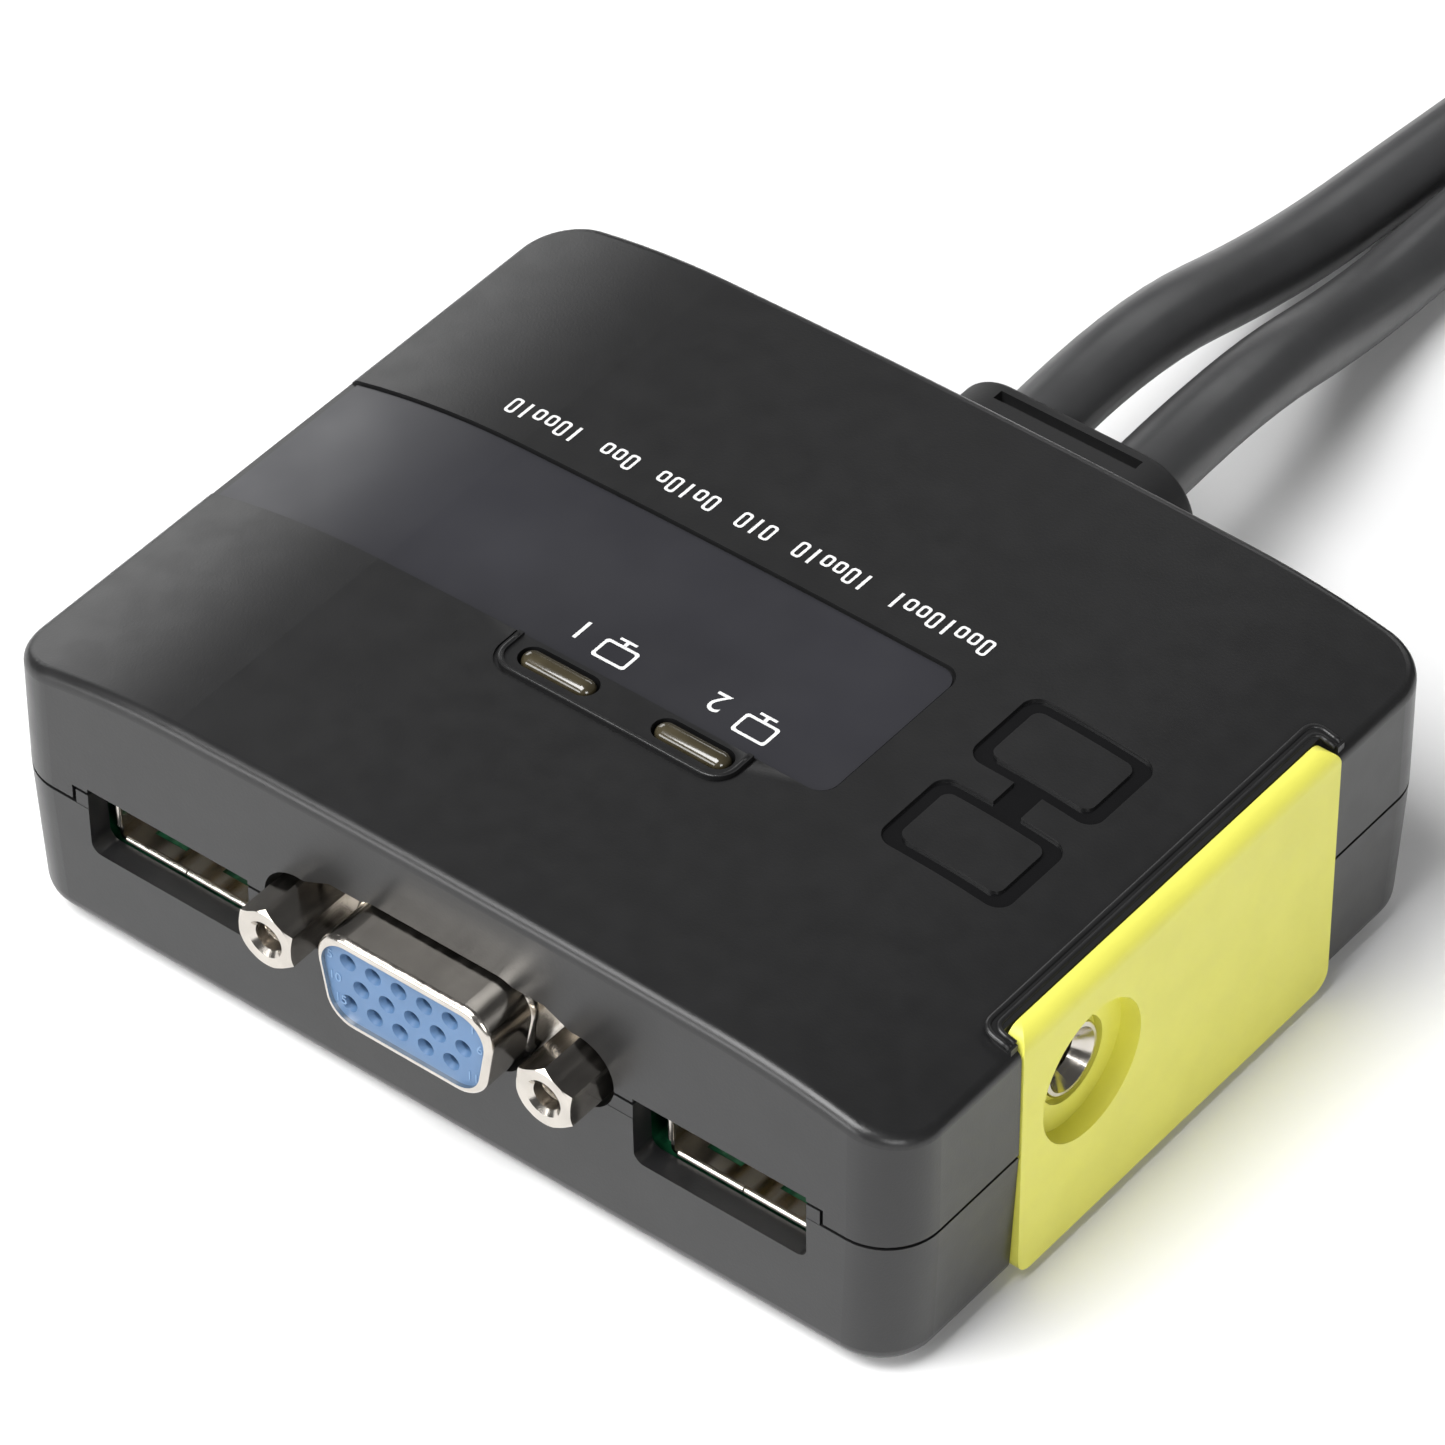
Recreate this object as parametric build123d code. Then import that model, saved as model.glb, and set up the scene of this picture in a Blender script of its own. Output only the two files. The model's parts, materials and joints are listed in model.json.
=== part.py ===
from build123d import *
import math
import os

# Two-port switch for a keyboard, a screen and a mouse, with two attached computer cables.
# Millimetres, +Z up, the socket face towards -Y, the cables towards +Y, the feet standing on z = 0.

# --- case -------------------------------------------------------------------------------------
BODY_WIDTH = 80.4
BODY_FRONT = -34.7
BODY_REAR = 28.0
FOOT_HEIGHT = 1.0
PARTING_Z = 13.15
PARTING_STEP = 1.45
PARTING_GAP = 0.3
CROWN_Z = 25.9
CROWN_FALL = 1.07e-6
CROWN_KNEE = 24.0
CROWN_HALF = 44.0
CROWN_BASE = -60.0
CORNER_RADIUS = 4.5
SIDE_DRAFT = 0.6
FRONT_DRAFT = 0.25
WALL = 2.0
TOP_FILLET = 1.0
BOTTOM_FILLET = 1.5
LIP_THICKNESS = 0.9
LIP_HEIGHT = 1.2
LIP_ROOT_Z = 12.4
LIP_SETBACK = 0.12
STEP_SETBACK = 0.03
STEP_HALF_WIDTH = 33.75
STEP_SIDE_GAP = 0.3
SMALLEST_CORNER = 1.0
POST_RADIUS = 3.2
POST_BOTTOM_Z = 11.15
PILOT_RADIUS = 1.15
BOSS_RADIUS = 3.6
SCREW_CLEARANCE_RADIUS = 1.6
SCREW_RECESS_RADIUS = 3.0
SCREW_RECESS_DEPTH = 2.2
SCREW_PLACES = ((-14.0, -20.0), (14.0, -20.0), (-34.0, 20.0), (34.0, 20.0))
SCREW_HEAD = (2.6, 1.8)
SCREW_HEAD_SETBACK = 0.4
SCREW_LENGTH = 13.0
CROSS_SLOT = (2.6, 0.6)
CROSS_DEPTH = 1.2
FOOT_PLACES = ((-30.0, -26.0), (-30.0, 19.0), (30.0, -26.0), (30.0, 19.0))
FOOT_RADIUS = 4.0
FOOT_EDGE = 0.4
BEYOND = 60.0

# --- board and sockets ------------------------------------------------------------------------
PCB_TOP = 8.6
PCB_THICKNESS = 1.6
PCB_WIDTH = 74.0
PCB_FRONT = -31.5
PCB_REAR = 22.0
PIN_PITCH_X = 2.29
PIN_PITCH_Z = 1.98
JACKSCREW_X = 12.495
JACKSCREW_ACROSS_FLATS = 4.76
JACKSCREW_FACE_RADIUS = 2.4
JACKSCREW_CHAMFER_SLOPE = 1.4
JACKSCREW_MOUTH = (1.7, 0.7)
JACKSCREW_SHANK = (1.4, 3.5)
THREAD_RADIUS = 1.42
THREAD_HEIGHT = 0.25
VGA_Z = 14.9
VGA_FACE_Y = -38.4
FLANGE_Y = -32.4
BRACKET_THICKNESS = 0.8
BRACKET_HALF_WIDTH = 15.6
BRACKET_RISE = 6.3
SOCKET_SHELL_WIDTH = 16.7
SOCKET_SHELL_HEIGHT = 8.4
SHELL_THICKNESS = 0.65
SHELL_RIM = 0.55
SHELL_ROOT_GROWTH = (0.6, 0.4)
SHELL_ROOT_DEPTH = 1.7
SHELL_ROOT_FILLET = 0.7
SOCKET_OPENING = (17.7, 9.3)
NUT_HOLE_RADIUS = 3.2
FLANGE_WINDOW = ((12.5, -2.8), (12.5, 2.9), (9.6, 4.3))
INSERT_SETBACK = 0.35
CONTACT_HOLE_RADIUS = 0.55
CONTACT_MOUTH_RADIUS = 0.9
CONTACT_RADIUS = 0.53
CONTACT_BORE = 0.36
CONTACT_LENGTH = 5.0
CONTACT_SETBACK = 2.2
USB_X = 25.2
USB_FACE_Y = -32.2
USB_LENGTH = 14.0
USB_OPENING_WIDTH = 12.5
USB_OPENING_HEIGHT = 5.12
USB_SHEET = 0.3
USB_FLOOR_Z = 9.0
USB_WINDOW_X = 3.2
USB_WINDOW_HALF = 1.5
USB_WINDOW_FROM = 1.6
USB_WINDOW_TO = 7.0
USB_SPRING_HALF = 0.9
USB_SPRING_FROM = 2.4
USB_TONGUE_HALF = 5.6
USB_TONGUE_THICKNESS = 1.9
USB_TONGUE_LENGTH = 10.0
USB_BLOCK_HALF = 6.2
USB_BLOCK_END = 13.6
USB_CONTACT_X = (-3.5, -1.0, 1.0, 3.5)
RECESS_INNER_X = 17.3
RECESS_OUTER_X = 32.3
RECESS_BOTTOM_Z = 8.9
RECESS_PAST_WALL = 0.45
RECESS_CORNER = 0.9
JACK_Y = -13.2
JACK_Z = 15.0
JACK_BORE = 3.56
JACK_DEPTH = 14.0
JACK_BODY_HALF = 3.2
JACK_WALL = 0.3
FERRULE_DIAMETER = 5.95
FERRULE_FACE_LENGTH = 1.4
FERRULE_LENGTH = 4.4
FERRULE_MOUTH = (2.55, 1.3)
FERRULE_POCKET = (3.45, 0.7)
JACK_DISH_DIAMETER = 11.2
JACK_DISH_DEPTH = 1.7

# --- side panel and top features ----------------------------------------------------------------
PANEL_FRONT = -21.2
PANEL_REAR = 15.6
PANEL_THICKNESS = 1.7
PANEL_PROUD = 0.1
PANEL_TOP_Z = 24.0
PANEL_GAP = 0.15
PANEL_CORNER = 1.5
PANEL_ROLL = 1.4
PANEL_CUT_CORNER = 0.3
PANEL_BACK_GAP = 0.5
PANEL_ROOF_Z = 22.5
BEAD_INNER_X = 37.0
BEAD_CORNER = 1.6
BEAD_SETBACK = 0.35
DISH_FLOOR = 1.3
DISH_WALL = 1.2
BEAD_HEIGHT = 0.45
BEAD_WIDTH = 0.9
BAND_FRONT = -12.0
BAND_REAR = 3.9
BAND_END_X = 16.2
BAND_DEPTH = 0.45
BAND_RADIUS = 1.5
TAB_LEFT = -11.0
TAB_RIGHT = 10.0
TAB_FRONT = -15.8
TAB_RADIUS = 2.0
RIDGE_WIDTH = 0.45
RIDGE_HEIGHT = 0.22
GROOVE_WIDTH = 0.3
GROOVE_DEPTH = 0.22
FILM_THICKNESS = 0.2
FILM_GAP = 0.2
FILM_SIDE_GAP = 0.8
LENS_CENTRES = (-6.2, 5.8)
LENS_LENGTH = 6.4
LENS_WIDTH = 1.8
LENS_GAP = 0.25
LENS_Y = -13.55
PIPE_FLANGE_Z = 22.2
PIPE_FLANGE_THICKNESS = 1.0
PIPE_FLANGE_WIDTH = 0.8
LED_SIZE = (3.0, 2.4)
LED_TOP_Z = 21.9
PIPE_PROUD = 0.35
EMBLEM_X = 26.6
EMBLEM_Y = -3.8
EMBLEM_DEPTH = 0.3
EMBLEM_SCREEN = (11.0, 8.0)
EMBLEM_SCREEN_SHIFT = 5.2
EMBLEM_LINE = 1.2
EMBLEM_JOIN = 2.4

# --- rear grommet and cables --------------------------------------------------------------------
GROMMET_X = 1.0
GROMMET_WIDTH = 21.6
GROMMET_HEIGHT = 9.2
GROMMET_Z = 13.3
GROMMET_END = 38.4
GROMMET_COLLAR = 3.0
GROMMET_COLLAR_GROWTH = 1.4
GROMMET_RIM = 0.8
GROMMET_SLOTS_Y = (30.4, 33.2, 36.2)
GROMMET_SLOT_WIDTH = 1.0
GROMMET_SLOT_HALF = 6.5
FIT_GAP = 0.05
INNER_CABLE_START = 18.0
CABLE_DIAMETER = 6.2
CABLE_EXIT_X = (-3.8, 5.8)
CABLE_EXIT_Z = 13.5
CABLE_ROUTES = (
    (
        (-3.8, 38.4, 13.5),
        (-4.6, 51.8, 13.9),
        (-6.2, 74.0, 5.6),
        (-6.4, 93.0, 3.1),
        (-5.0, 108.0, 3.1),
        (-5.3, 121.0, 3.1),
    ),
    (
        (5.8, 38.4, 13.5),
        (5.0, 52.2, 13.4),
        (1.6, 74.0, 4.8),
        (0.6, 91.0, 3.1),
        (1.5, 107.0, 3.1),
        (0.9, 121.0, 3.1),
    ),
)
TAIL_ROUTES = (
    (
        (-5.3, 121.0, 27.9),
        (-4.9, 137.0, 28.0),
        (-6.2, 161.0, 19.5),
        (-5.4, 186.0, 8.2),
        (-6.0, 200.0, 7.5),
    ),
    (
        (0.9, 121.0, 27.9),
        (2.6, 140.0, 28.8),
        (9.4, 160.0, 27.5),
        (18.6, 180.0, 15.2),
        (25.6, 195.0, 8.6),
        (28.0, 210.5, 7.5),
    ),
)
COIL_CENTRE = (31.9, 121.0)
COIL_RADII = (37.2, 31.0)
COIL_TURNS = 4
TIE_WIDTH = 9.0
TIE_THICKNESS = 1.2
TIE_CORNER = 1.0
TIE_ANGLES = (40.0, 270.0)

# --- computer-end plugs ---------------------------------------------------------------------------
PLUG_HEIGHT = 15.0
PLUG_NOSE_WIDTH = 33.0
PLUG_NOSE_LENGTH = 7.0
PLUG_BODY_WIDTH = 18.4
PLUG_BODY_LENGTH = 22.0
PLUG_RELIEF_LENGTH = 14.0
PLUG_SHELL_WIDTH = 17.9
PLUG_SHELL_HEIGHT = 9.3
PLUG_SHELL_LENGTH = 6.0
PLUG_SHELL_SHEET = 0.5
PLUG_FLANGE = (30.6, 12.4, 0.8)
PLUG_FLANGE_CORNER = 2.0
PLUG_BODY_EDGE = 1.6
PLUG_NOSE_EDGE = 2.5
PLUG_RELIEF_RADII = (4.0, 5.6)
PLUG_INSERT_DEPTH = 1.0
PIN_RADIUS = 0.38
PIN_LENGTH = 3.8
THUMB_HEAD_RADIUS = 2.9
THUMB_HEAD_LENGTH = 13.0
THUMB_CLEARANCE = 0.06
THUMB_EDGE = 0.4
THUMB_GROOVES = 12
THUMB_GROOVE_RADIUS = 0.32
THUMB_GROOVE_LENGTH = 10.0
THUMB_SHAFT_PAST_NOSE = 6.0
LEAD_DIAMETER = 3.0
LEAD_OFFSET = 6.6
USB_PLUG_WIDTH = 15.6
USB_PLUG_HEIGHT = 8.0
USB_PLUG_LENGTH = 22.0
USB_PLUG_RELIEF = 8.0
USB_PLUG_SHELL = (12.0, 4.5, 12.0)
USB_PLUG_EDGE = 1.5
USB_PLUG_RELIEF_RADII = (2.0, 3.0)
LEAD_ROUTES = (
    (
        (-12.6, 214.0, 7.5),
        (-13.0, 205.0, 7.3),
        (-14.2, 189.0, 2.2),
        (-14.4, 177.0, 1.5),
        (-13.4, 150.0, 1.5),
        (-19.6, 143.8, 1.5),
        (-28.2, 143.8, 1.5),
        (-34.4, 150.0, 1.5),
        (-35.0, 176.5, 1.9),
        (-33.4, 189.5, 4.0),
    ),
    (
        (34.6, 224.5, 7.5),
        (35.0, 215.5, 7.3),
        (36.2, 200.0, 2.2),
        (36.0, 190.5, 1.5),
        (35.0, 176.5, 1.5),
        (45.0, 166.5, 1.5),
        (55.2, 166.5, 1.5),
        (65.2, 176.5, 1.5),
        (65.8, 191.5, 1.9),
        (64.2, 204.5, 4.0),
    ),
)

NODES = {}


def block(x_low, x_high, y_low, y_high, z_low, z_high):
    """A box given by its two corners."""
    size = (x_high - x_low, y_high - y_low, z_high - z_low)
    centre = ((x_low + x_high) / 2, (y_low + y_high) / 2, (z_low + z_high) / 2)
    return Pos(*centre) * Box(*size)


def rounded_block(x_low, x_high, y_low, y_high, z_low, z_high, radius):
    """A box whose four upright edges are round."""
    centre = ((x_low + x_high) / 2, (y_low + y_high) / 2, z_low)
    outline = RectangleRounded(x_high - x_low, y_high - y_low, radius)
    return Pos(*centre) * extrude(outline, z_high - z_low)


def rod(start, direction, radius, length):
    """A round rod from a start point along a direction."""
    return extrude(Plane(origin=start, z_dir=direction) * Circle(radius), length)


def crown_height(x):
    """The height of the crown on its centre line and knees."""
    return CROWN_Z - CROWN_FALL * x**4


def crown_solid(offset):
    """Everything under the crown, moved up or down: one flat arc between two steeper ones."""
    knee_z = crown_height(CROWN_KNEE) + offset
    edge_z = crown_height(CROWN_HALF) + offset
    middle = ThreePointArc((-CROWN_KNEE, knee_z), (0, CROWN_Z + offset), (CROWN_KNEE, knee_z))
    right = TangentArc((CROWN_KNEE, knee_z), (CROWN_HALF, edge_z), tangent=middle % 1)
    left = TangentArc((-CROWN_KNEE, knee_z), (-CROWN_HALF, edge_z), tangent=-(middle % 0))
    base = Polyline(
        (CROWN_HALF, edge_z),
        (CROWN_HALF, CROWN_BASE),
        (-CROWN_HALF, CROWN_BASE),
        (-CROWN_HALF, edge_z),
    )
    return extrude(Plane.XZ * make_face([middle, right, base, left]), BEYOND, both=True)


def crown_slab(low_offset, high_offset):
    """The space between two copies of the crown."""
    return crown_solid(high_offset) - crown_solid(low_offset)


def case_prism(inset, z_low, z_high):
    """The plan outline of the upper case, drawn in by an inset."""
    return rounded_block(
        -BODY_WIDTH / 2 + inset,
        BODY_WIDTH / 2 - inset,
        BODY_FRONT + inset,
        BODY_REAR - inset,
        z_low,
        z_high,
        max(CORNER_RADIUS - inset, SMALLEST_CORNER),
    )


def lower_case_solid(inset, z_low, z_high):
    """The lower case narrows a little towards its floor."""
    middle_y = (BODY_FRONT + BODY_REAR) / 2
    depth = BODY_REAR - BODY_FRONT
    fall = (PARTING_Z - z_low) / (PARTING_Z - FOOT_HEIGHT)
    corner = max(CORNER_RADIUS - inset, SMALLEST_CORNER)
    top = RectangleRounded(BODY_WIDTH - 2 * inset, depth - 2 * inset, corner)
    bottom = RectangleRounded(
        BODY_WIDTH - 2 * (inset + SIDE_DRAFT * fall),
        depth - 2 * (inset + FRONT_DRAFT * fall),
        corner,
    )
    return loft([Pos(0, middle_y, z_low) * bottom, Pos(0, middle_y, z_high) * top])


def d_outline(width, height):
    """The D shape of the video connector: wide side up, slanted ends, round corners."""
    slant_angle, corner_share = 10, 0.31
    slant = height * math.tan(math.radians(slant_angle)) / 2
    points = [
        (-width / 2, height / 2),
        (width / 2, height / 2),
        (width / 2 - 2 * slant, -height / 2),
        (-width / 2 + 2 * slant, -height / 2),
    ]
    outline = make_face(Polyline(*points, close=True))
    return fillet(outline.vertices(), corner_share * height)


def d_solid(width, height, y_low, y_high, centre=(0, VGA_Z)):
    """A D-shaped prism along Y."""
    plane = Plane(origin=(centre[0], y_high, centre[1]), x_dir=(1, 0, 0), z_dir=(0, -1, 0))
    return extrude(plane * d_outline(width, height), y_high - y_low)


def pin_places():
    """The fifteen contact places of the video connector, as x and z from its centre."""
    places = []
    for row, shift in ((1, -0.25), (0, 0.25), (-1, -0.25)):
        places += [((column - 2 + shift) * PIN_PITCH_X, row * PIN_PITCH_Z) for column in range(5)]
    return places


def panel_cut(grow):
    """The opening for the side panel: clear behind the panel, close to it where the roof begins."""
    inner_x = BODY_WIDTH / 2 + PANEL_PROUD - PANEL_THICKNESS - grow
    outer_x = BODY_WIDTH / 2 + BODY_REAR
    y_low, y_high = PANEL_FRONT - grow, PANEL_REAR + grow
    roof = rounded_block(inner_x, outer_x, y_low, y_high, 0, PANEL_TOP_Z + grow, PANEL_CUT_CORNER)
    behind_x = inner_x - PANEL_BACK_GAP
    behind = rounded_block(behind_x, outer_x, y_low, y_high, 0, PANEL_ROOF_Z, PANEL_CUT_CORNER)
    return roof + behind


def front_openings():
    """The opening in the front wall: the D, two nut holes and the flange's window between them."""
    front_y, back_y = BODY_FRONT - 5, BODY_FRONT + WALL + 1
    cut = d_solid(*SOCKET_OPENING, front_y, back_y)
    right_side = [(x, VGA_Z + z) for x, z in FLANGE_WINDOW]
    left_side = [(-x, z) for x, z in reversed(right_side)]
    window = make_face(Polyline(*right_side, *left_side, close=True))
    plane = Plane(origin=(0, back_y, 0), x_dir=(1, 0, 0), z_dir=(0, -1, 0))
    cut += extrude(plane * window, back_y - front_y)
    for side in (-1, 1):
        start = (side * JACKSCREW_X, front_y, VGA_Z)
        cut += rod(start, (0, 1, 0), NUT_HOLE_RADIUS, back_y - front_y)
    return cut


def usb_recesses(z_high):
    """The two square recesses around the USB sockets, with softened lower corners."""
    cut = Part()
    for side in (-1, 1):
        x_low = min(side * RECESS_INNER_X, side * RECESS_OUTER_X)
        window = block(
            x_low,
            x_low + RECESS_OUTER_X - RECESS_INNER_X,
            BODY_FRONT - 1,
            BODY_FRONT + WALL + RECESS_PAST_WALL,
            RECESS_BOTTOM_Z,
            z_high,
        )
        lower_edges = window.edges().filter_by(Axis.Y).group_by(Axis.Z)[0]
        cut += fillet(lower_edges, RECESS_CORNER)
    return cut


def grommet_section(grow):
    """The grommet's section, round at both ends."""
    width = GROMMET_WIDTH + 2 * grow
    height = GROMMET_HEIGHT + 2 * grow
    return RectangleRounded(width, height, height / 2 - FIT_GAP)


def grommet_prism(grow, y_low, y_high):
    """A length of the grommet's section along Y."""
    plane = Plane(origin=(GROMMET_X, y_high, GROMMET_Z), x_dir=(1, 0, 0), z_dir=(0, -1, 0))
    return extrude(plane * grommet_section(grow), y_high - y_low)


def band_outline(z_low, z_high, inset=0.0):
    """The plan of the shallow band across the top."""
    return rounded_block(
        -BODY_WIDTH,
        BAND_END_X - inset,
        BAND_FRONT + inset,
        BAND_REAR - inset,
        z_low,
        z_high,
        BAND_RADIUS,
    )


def tab_outline(z_low, z_high, inset=0.0):
    """The plan of the tab that frames the light pipes, open towards the band."""
    return rounded_block(
        TAB_LEFT + inset,
        TAB_RIGHT - inset,
        TAB_FRONT + inset,
        BAND_FRONT + TAB_RADIUS + 1,
        z_low,
        z_high,
        TAB_RADIUS - inset,
    )


def lens_slot(x, grow, z_low, z_high):
    """A light pipe's long round outline, or the slot around it."""
    outline = SlotOverall(LENS_LENGTH + 2 * grow, LENS_WIDTH + 2 * grow)
    return Pos(x, LENS_Y, z_low) * extrude(outline, z_high - z_low)


def emblem_cut(z_low, z_high):
    """A plain pictogram: two screens joined by a bar."""
    width, depth = EMBLEM_SCREEN
    shape = Part()
    for shift in (-EMBLEM_SCREEN_SHIFT, EMBLEM_SCREEN_SHIFT):
        place = Pos(EMBLEM_X, EMBLEM_Y + shift, z_low)
        frame = RectangleRounded(width, depth, EMBLEM_LINE + 0.2)
        frame -= RectangleRounded(width - 2 * EMBLEM_LINE, depth - 2 * EMBLEM_LINE, 0.8)
        shape += place * extrude(frame, z_high - z_low)
    join = Rectangle(EMBLEM_JOIN, EMBLEM_JOIN)
    return shape + Pos(EMBLEM_X, EMBLEM_Y, z_low) * extrude(join, z_high - z_low)


def make_top_cover():
    """The crowned upper shell with its band, tab, light-pipe slots and screw posts."""
    low_z, high_z = 20, 40
    outer = case_prism(0, PARTING_Z + PARTING_GAP / 2, high_z) & crown_solid(0)
    rim = outer.edges().filter_by(lambda edge: edge.center().Z > low_z + 2)
    seams = rim.filter_by(Axis.Y).filter_by(lambda edge: abs(edge.center().X) < CROWN_KNEE + 1)
    outer = fillet(rim - seams, TOP_FILLET)
    cover = outer - (case_prism(WALL, 0, high_z) & crown_solid(-WALL))
    rebate_top = PARTING_Z + LIP_HEIGHT + 0.2
    cover -= case_prism(WALL - LIP_THICKNESS - 0.1, 0, rebate_top)
    for x, y in SCREW_PLACES:
        post = Pos(x, y, POST_BOTTOM_Z) * extrude(Circle(POST_RADIUS), 14)
        cover += post & crown_solid(-0.5)
        cover -= Pos(x, y, POST_BOTTOM_Z - 1) * extrude(Circle(PILOT_RADIUS), 9)
    cover -= block(
        -STEP_HALF_WIDTH,
        STEP_HALF_WIDTH,
        BODY_FRONT - 1,
        BODY_FRONT + WALL + 0.4,
        0,
        PARTING_Z + PARTING_STEP,
    )
    cover -= front_openings()
    cover -= usb_recesses(PARTING_Z + PARTING_STEP + 0.35)
    cover -= grommet_prism(FIT_GAP, BODY_REAR - WALL - 1, BODY_REAR + 1)
    cover -= band_outline(low_z, high_z) & crown_slab(-BAND_DEPTH, 5)
    cover = add_tab(cover, low_z, high_z)
    for x in LENS_CENTRES:
        cover -= lens_slot(x, LENS_GAP, low_z, high_z)
    cover -= emblem_cut(low_z, high_z) & crown_slab(-EMBLEM_DEPTH, 5)
    bead = rounded_block(
        BEAD_INNER_X,
        BODY_WIDTH / 2 + 5,
        PANEL_FRONT - BEAD_WIDTH,
        PANEL_REAR + BEAD_WIDTH,
        low_z,
        high_z,
        BEAD_CORNER,
    )
    cover += bead & crown_slab(-1.0, BEAD_HEIGHT) & case_prism(BEAD_SETBACK, low_z, high_z)
    return cover - panel_cut(PANEL_GAP)


def add_tab(cover, low_z, high_z):
    """The tab's raised line with a groove outside it, both open towards the band."""
    keep = block(-BODY_WIDTH, BODY_WIDTH, -BODY_WIDTH, BAND_FRONT - 0.02, 0, high_z)
    groove = tab_outline(low_z, high_z, -GROOVE_WIDTH) - tab_outline(low_z - 1, high_z + 1)
    cover -= groove & keep & crown_slab(-GROOVE_DEPTH, 5)
    ridge = tab_outline(low_z, high_z) - tab_outline(low_z - 1, high_z + 1, RIDGE_WIDTH)
    return cover + (ridge & keep & crown_slab(-0.5, RIDGE_HEIGHT))


def make_bottom_cover():
    """The lower tray: lip, front step, recess windows, board posts and screw bosses."""
    outer = lower_case_solid(0, FOOT_HEIGHT, PARTING_Z)
    floor_edges = outer.edges().group_by(Axis.Z)[0]
    outer = fillet(floor_edges, BOTTOM_FILLET)
    outer &= block(-BEYOND, BEYOND, -BEYOND, BEYOND, 0, PARTING_Z - PARTING_GAP / 2)
    tray = outer - lower_case_solid(WALL, FOOT_HEIGHT + WALL, PARTING_Z)
    inside = case_prism(WALL - LIP_SETBACK, 0, BEYOND)
    lip = case_prism(WALL - LIP_THICKNESS, LIP_ROOT_Z, PARTING_Z + LIP_HEIGHT)
    tray += lip - inside
    step = case_prism(STEP_SETBACK, LIP_ROOT_Z, PARTING_Z + PARTING_STEP - PARTING_GAP)
    half_width = STEP_HALF_WIDTH - STEP_SIDE_GAP
    step &= block(-half_width, half_width, BODY_FRONT - 1, BODY_FRONT + WALL, 0, BEYOND)
    tray += step - inside
    boss_z = FOOT_HEIGHT + 1
    for x, y in SCREW_PLACES:
        tray += Pos(x, y, boss_z) * extrude(Circle(BOSS_RADIUS), PCB_TOP - PCB_THICKNESS - boss_z)
        tray -= Pos(x, y, 0) * extrude(Circle(SCREW_CLEARANCE_RADIUS), PCB_TOP)
        tray -= Pos(x, y, 0) * extrude(Circle(SCREW_RECESS_RADIUS), FOOT_HEIGHT + SCREW_RECESS_DEPTH)
    tray -= front_openings()
    tray -= usb_recesses(PARTING_Z + PARTING_STEP + 0.35)
    tray -= grommet_prism(FIT_GAP, BODY_REAR - WALL - 1, BODY_REAR + 1)
    return tray - panel_cut(PANEL_GAP)


def make_side_panel():
    """The coloured panel: a flat wall with a rolled upper edge and a dished jack hole."""
    outer_x = BODY_WIDTH / 2 + PANEL_PROUD
    floor_z = FOOT_HEIGHT + 0.1
    plate = block(outer_x - PANEL_THICKNESS, outer_x, PANEL_FRONT, PANEL_REAR, floor_z, PANEL_TOP_Z)
    rolled = plate.edges().filter_by(Axis.Y).sort_by(lambda edge: edge.center().Z + edge.center().X)[-1]
    plate = fillet(rolled, PANEL_ROLL)
    middle = ((PANEL_FRONT + PANEL_REAR) / 2, (floor_z + PANEL_TOP_Z) / 2)
    outline = RectangleRounded(PANEL_REAR - PANEL_FRONT, PANEL_TOP_Z - floor_z, PANEL_CORNER)
    side_view = Plane(origin=(0, middle[0], middle[1]), x_dir=(0, 1, 0), z_dir=(1, 0, 0))
    plate &= extrude(side_view * outline, BODY_WIDTH)
    dish_x = outer_x - JACK_DISH_DEPTH
    dish_radius = JACK_DISH_DIAMETER / 2
    pocket_radius, pocket_depth = FERRULE_POCKET
    outward = (1, 0, 0)
    back = (dish_x - DISH_FLOOR, JACK_Y, JACK_Z)
    plate += rod(back, outward, dish_radius + DISH_WALL, DISH_FLOOR + 0.3)
    plate -= rod((dish_x, JACK_Y, JACK_Z), outward, dish_radius, 5)
    plate -= rod((dish_x - pocket_depth, JACK_Y, JACK_Z), outward, pocket_radius, 5)
    plate -= rod((dish_x - 5, JACK_Y, JACK_Z), outward, FERRULE_DIAMETER / 2 + FIT_GAP, 9)
    return plate


def make_label_overlay():
    """The printed film lies in the band and follows the crown."""
    low_z, high_z = 10, 40
    film = band_outline(low_z, high_z, FILM_GAP) & crown_slab(-BAND_DEPTH, -BAND_DEPTH + FILM_THICKNESS)
    return film & case_prism(FILM_SIDE_GAP, low_z, high_z)


def make_light_pipe(x):
    """A clear domed pill with a flange under the cover."""
    pipe = lens_slot(x, 0, PIPE_FLANGE_Z, crown_height(x) + PIPE_PROUD)
    rim = pipe.edges().group_by(Axis.Z)[-1]
    pipe = fillet(rim, LENS_WIDTH / 2 - 0.1)
    flange_top = PIPE_FLANGE_Z + PIPE_FLANGE_THICKNESS
    return pipe + lens_slot(x, PIPE_FLANGE_WIDTH, PIPE_FLANGE_Z, flange_top)


def make_indicator_leds():
    """Two tall diodes that stand on the board under the light pipes."""
    half_x, half_y = LED_SIZE[0] / 2, LED_SIZE[1] / 2
    return [
        block(x - half_x, x + half_x, LENS_Y - half_y, LENS_Y + half_y, PCB_TOP, LED_TOP_Z)
        for x in LENS_CENTRES
    ]


def make_pcb():
    """The board, with clearance holes over the screw bosses."""
    board = rounded_block(
        -PCB_WIDTH / 2,
        PCB_WIDTH / 2,
        PCB_FRONT,
        PCB_REAR,
        PCB_TOP - PCB_THICKNESS,
        PCB_TOP,
        2.0,
    )
    for x, y in SCREW_PLACES:
        board -= Pos(x, y, 0) * extrude(Circle(SCREW_CLEARANCE_RADIUS + 0.1), PCB_TOP + 1)
    return board


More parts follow.
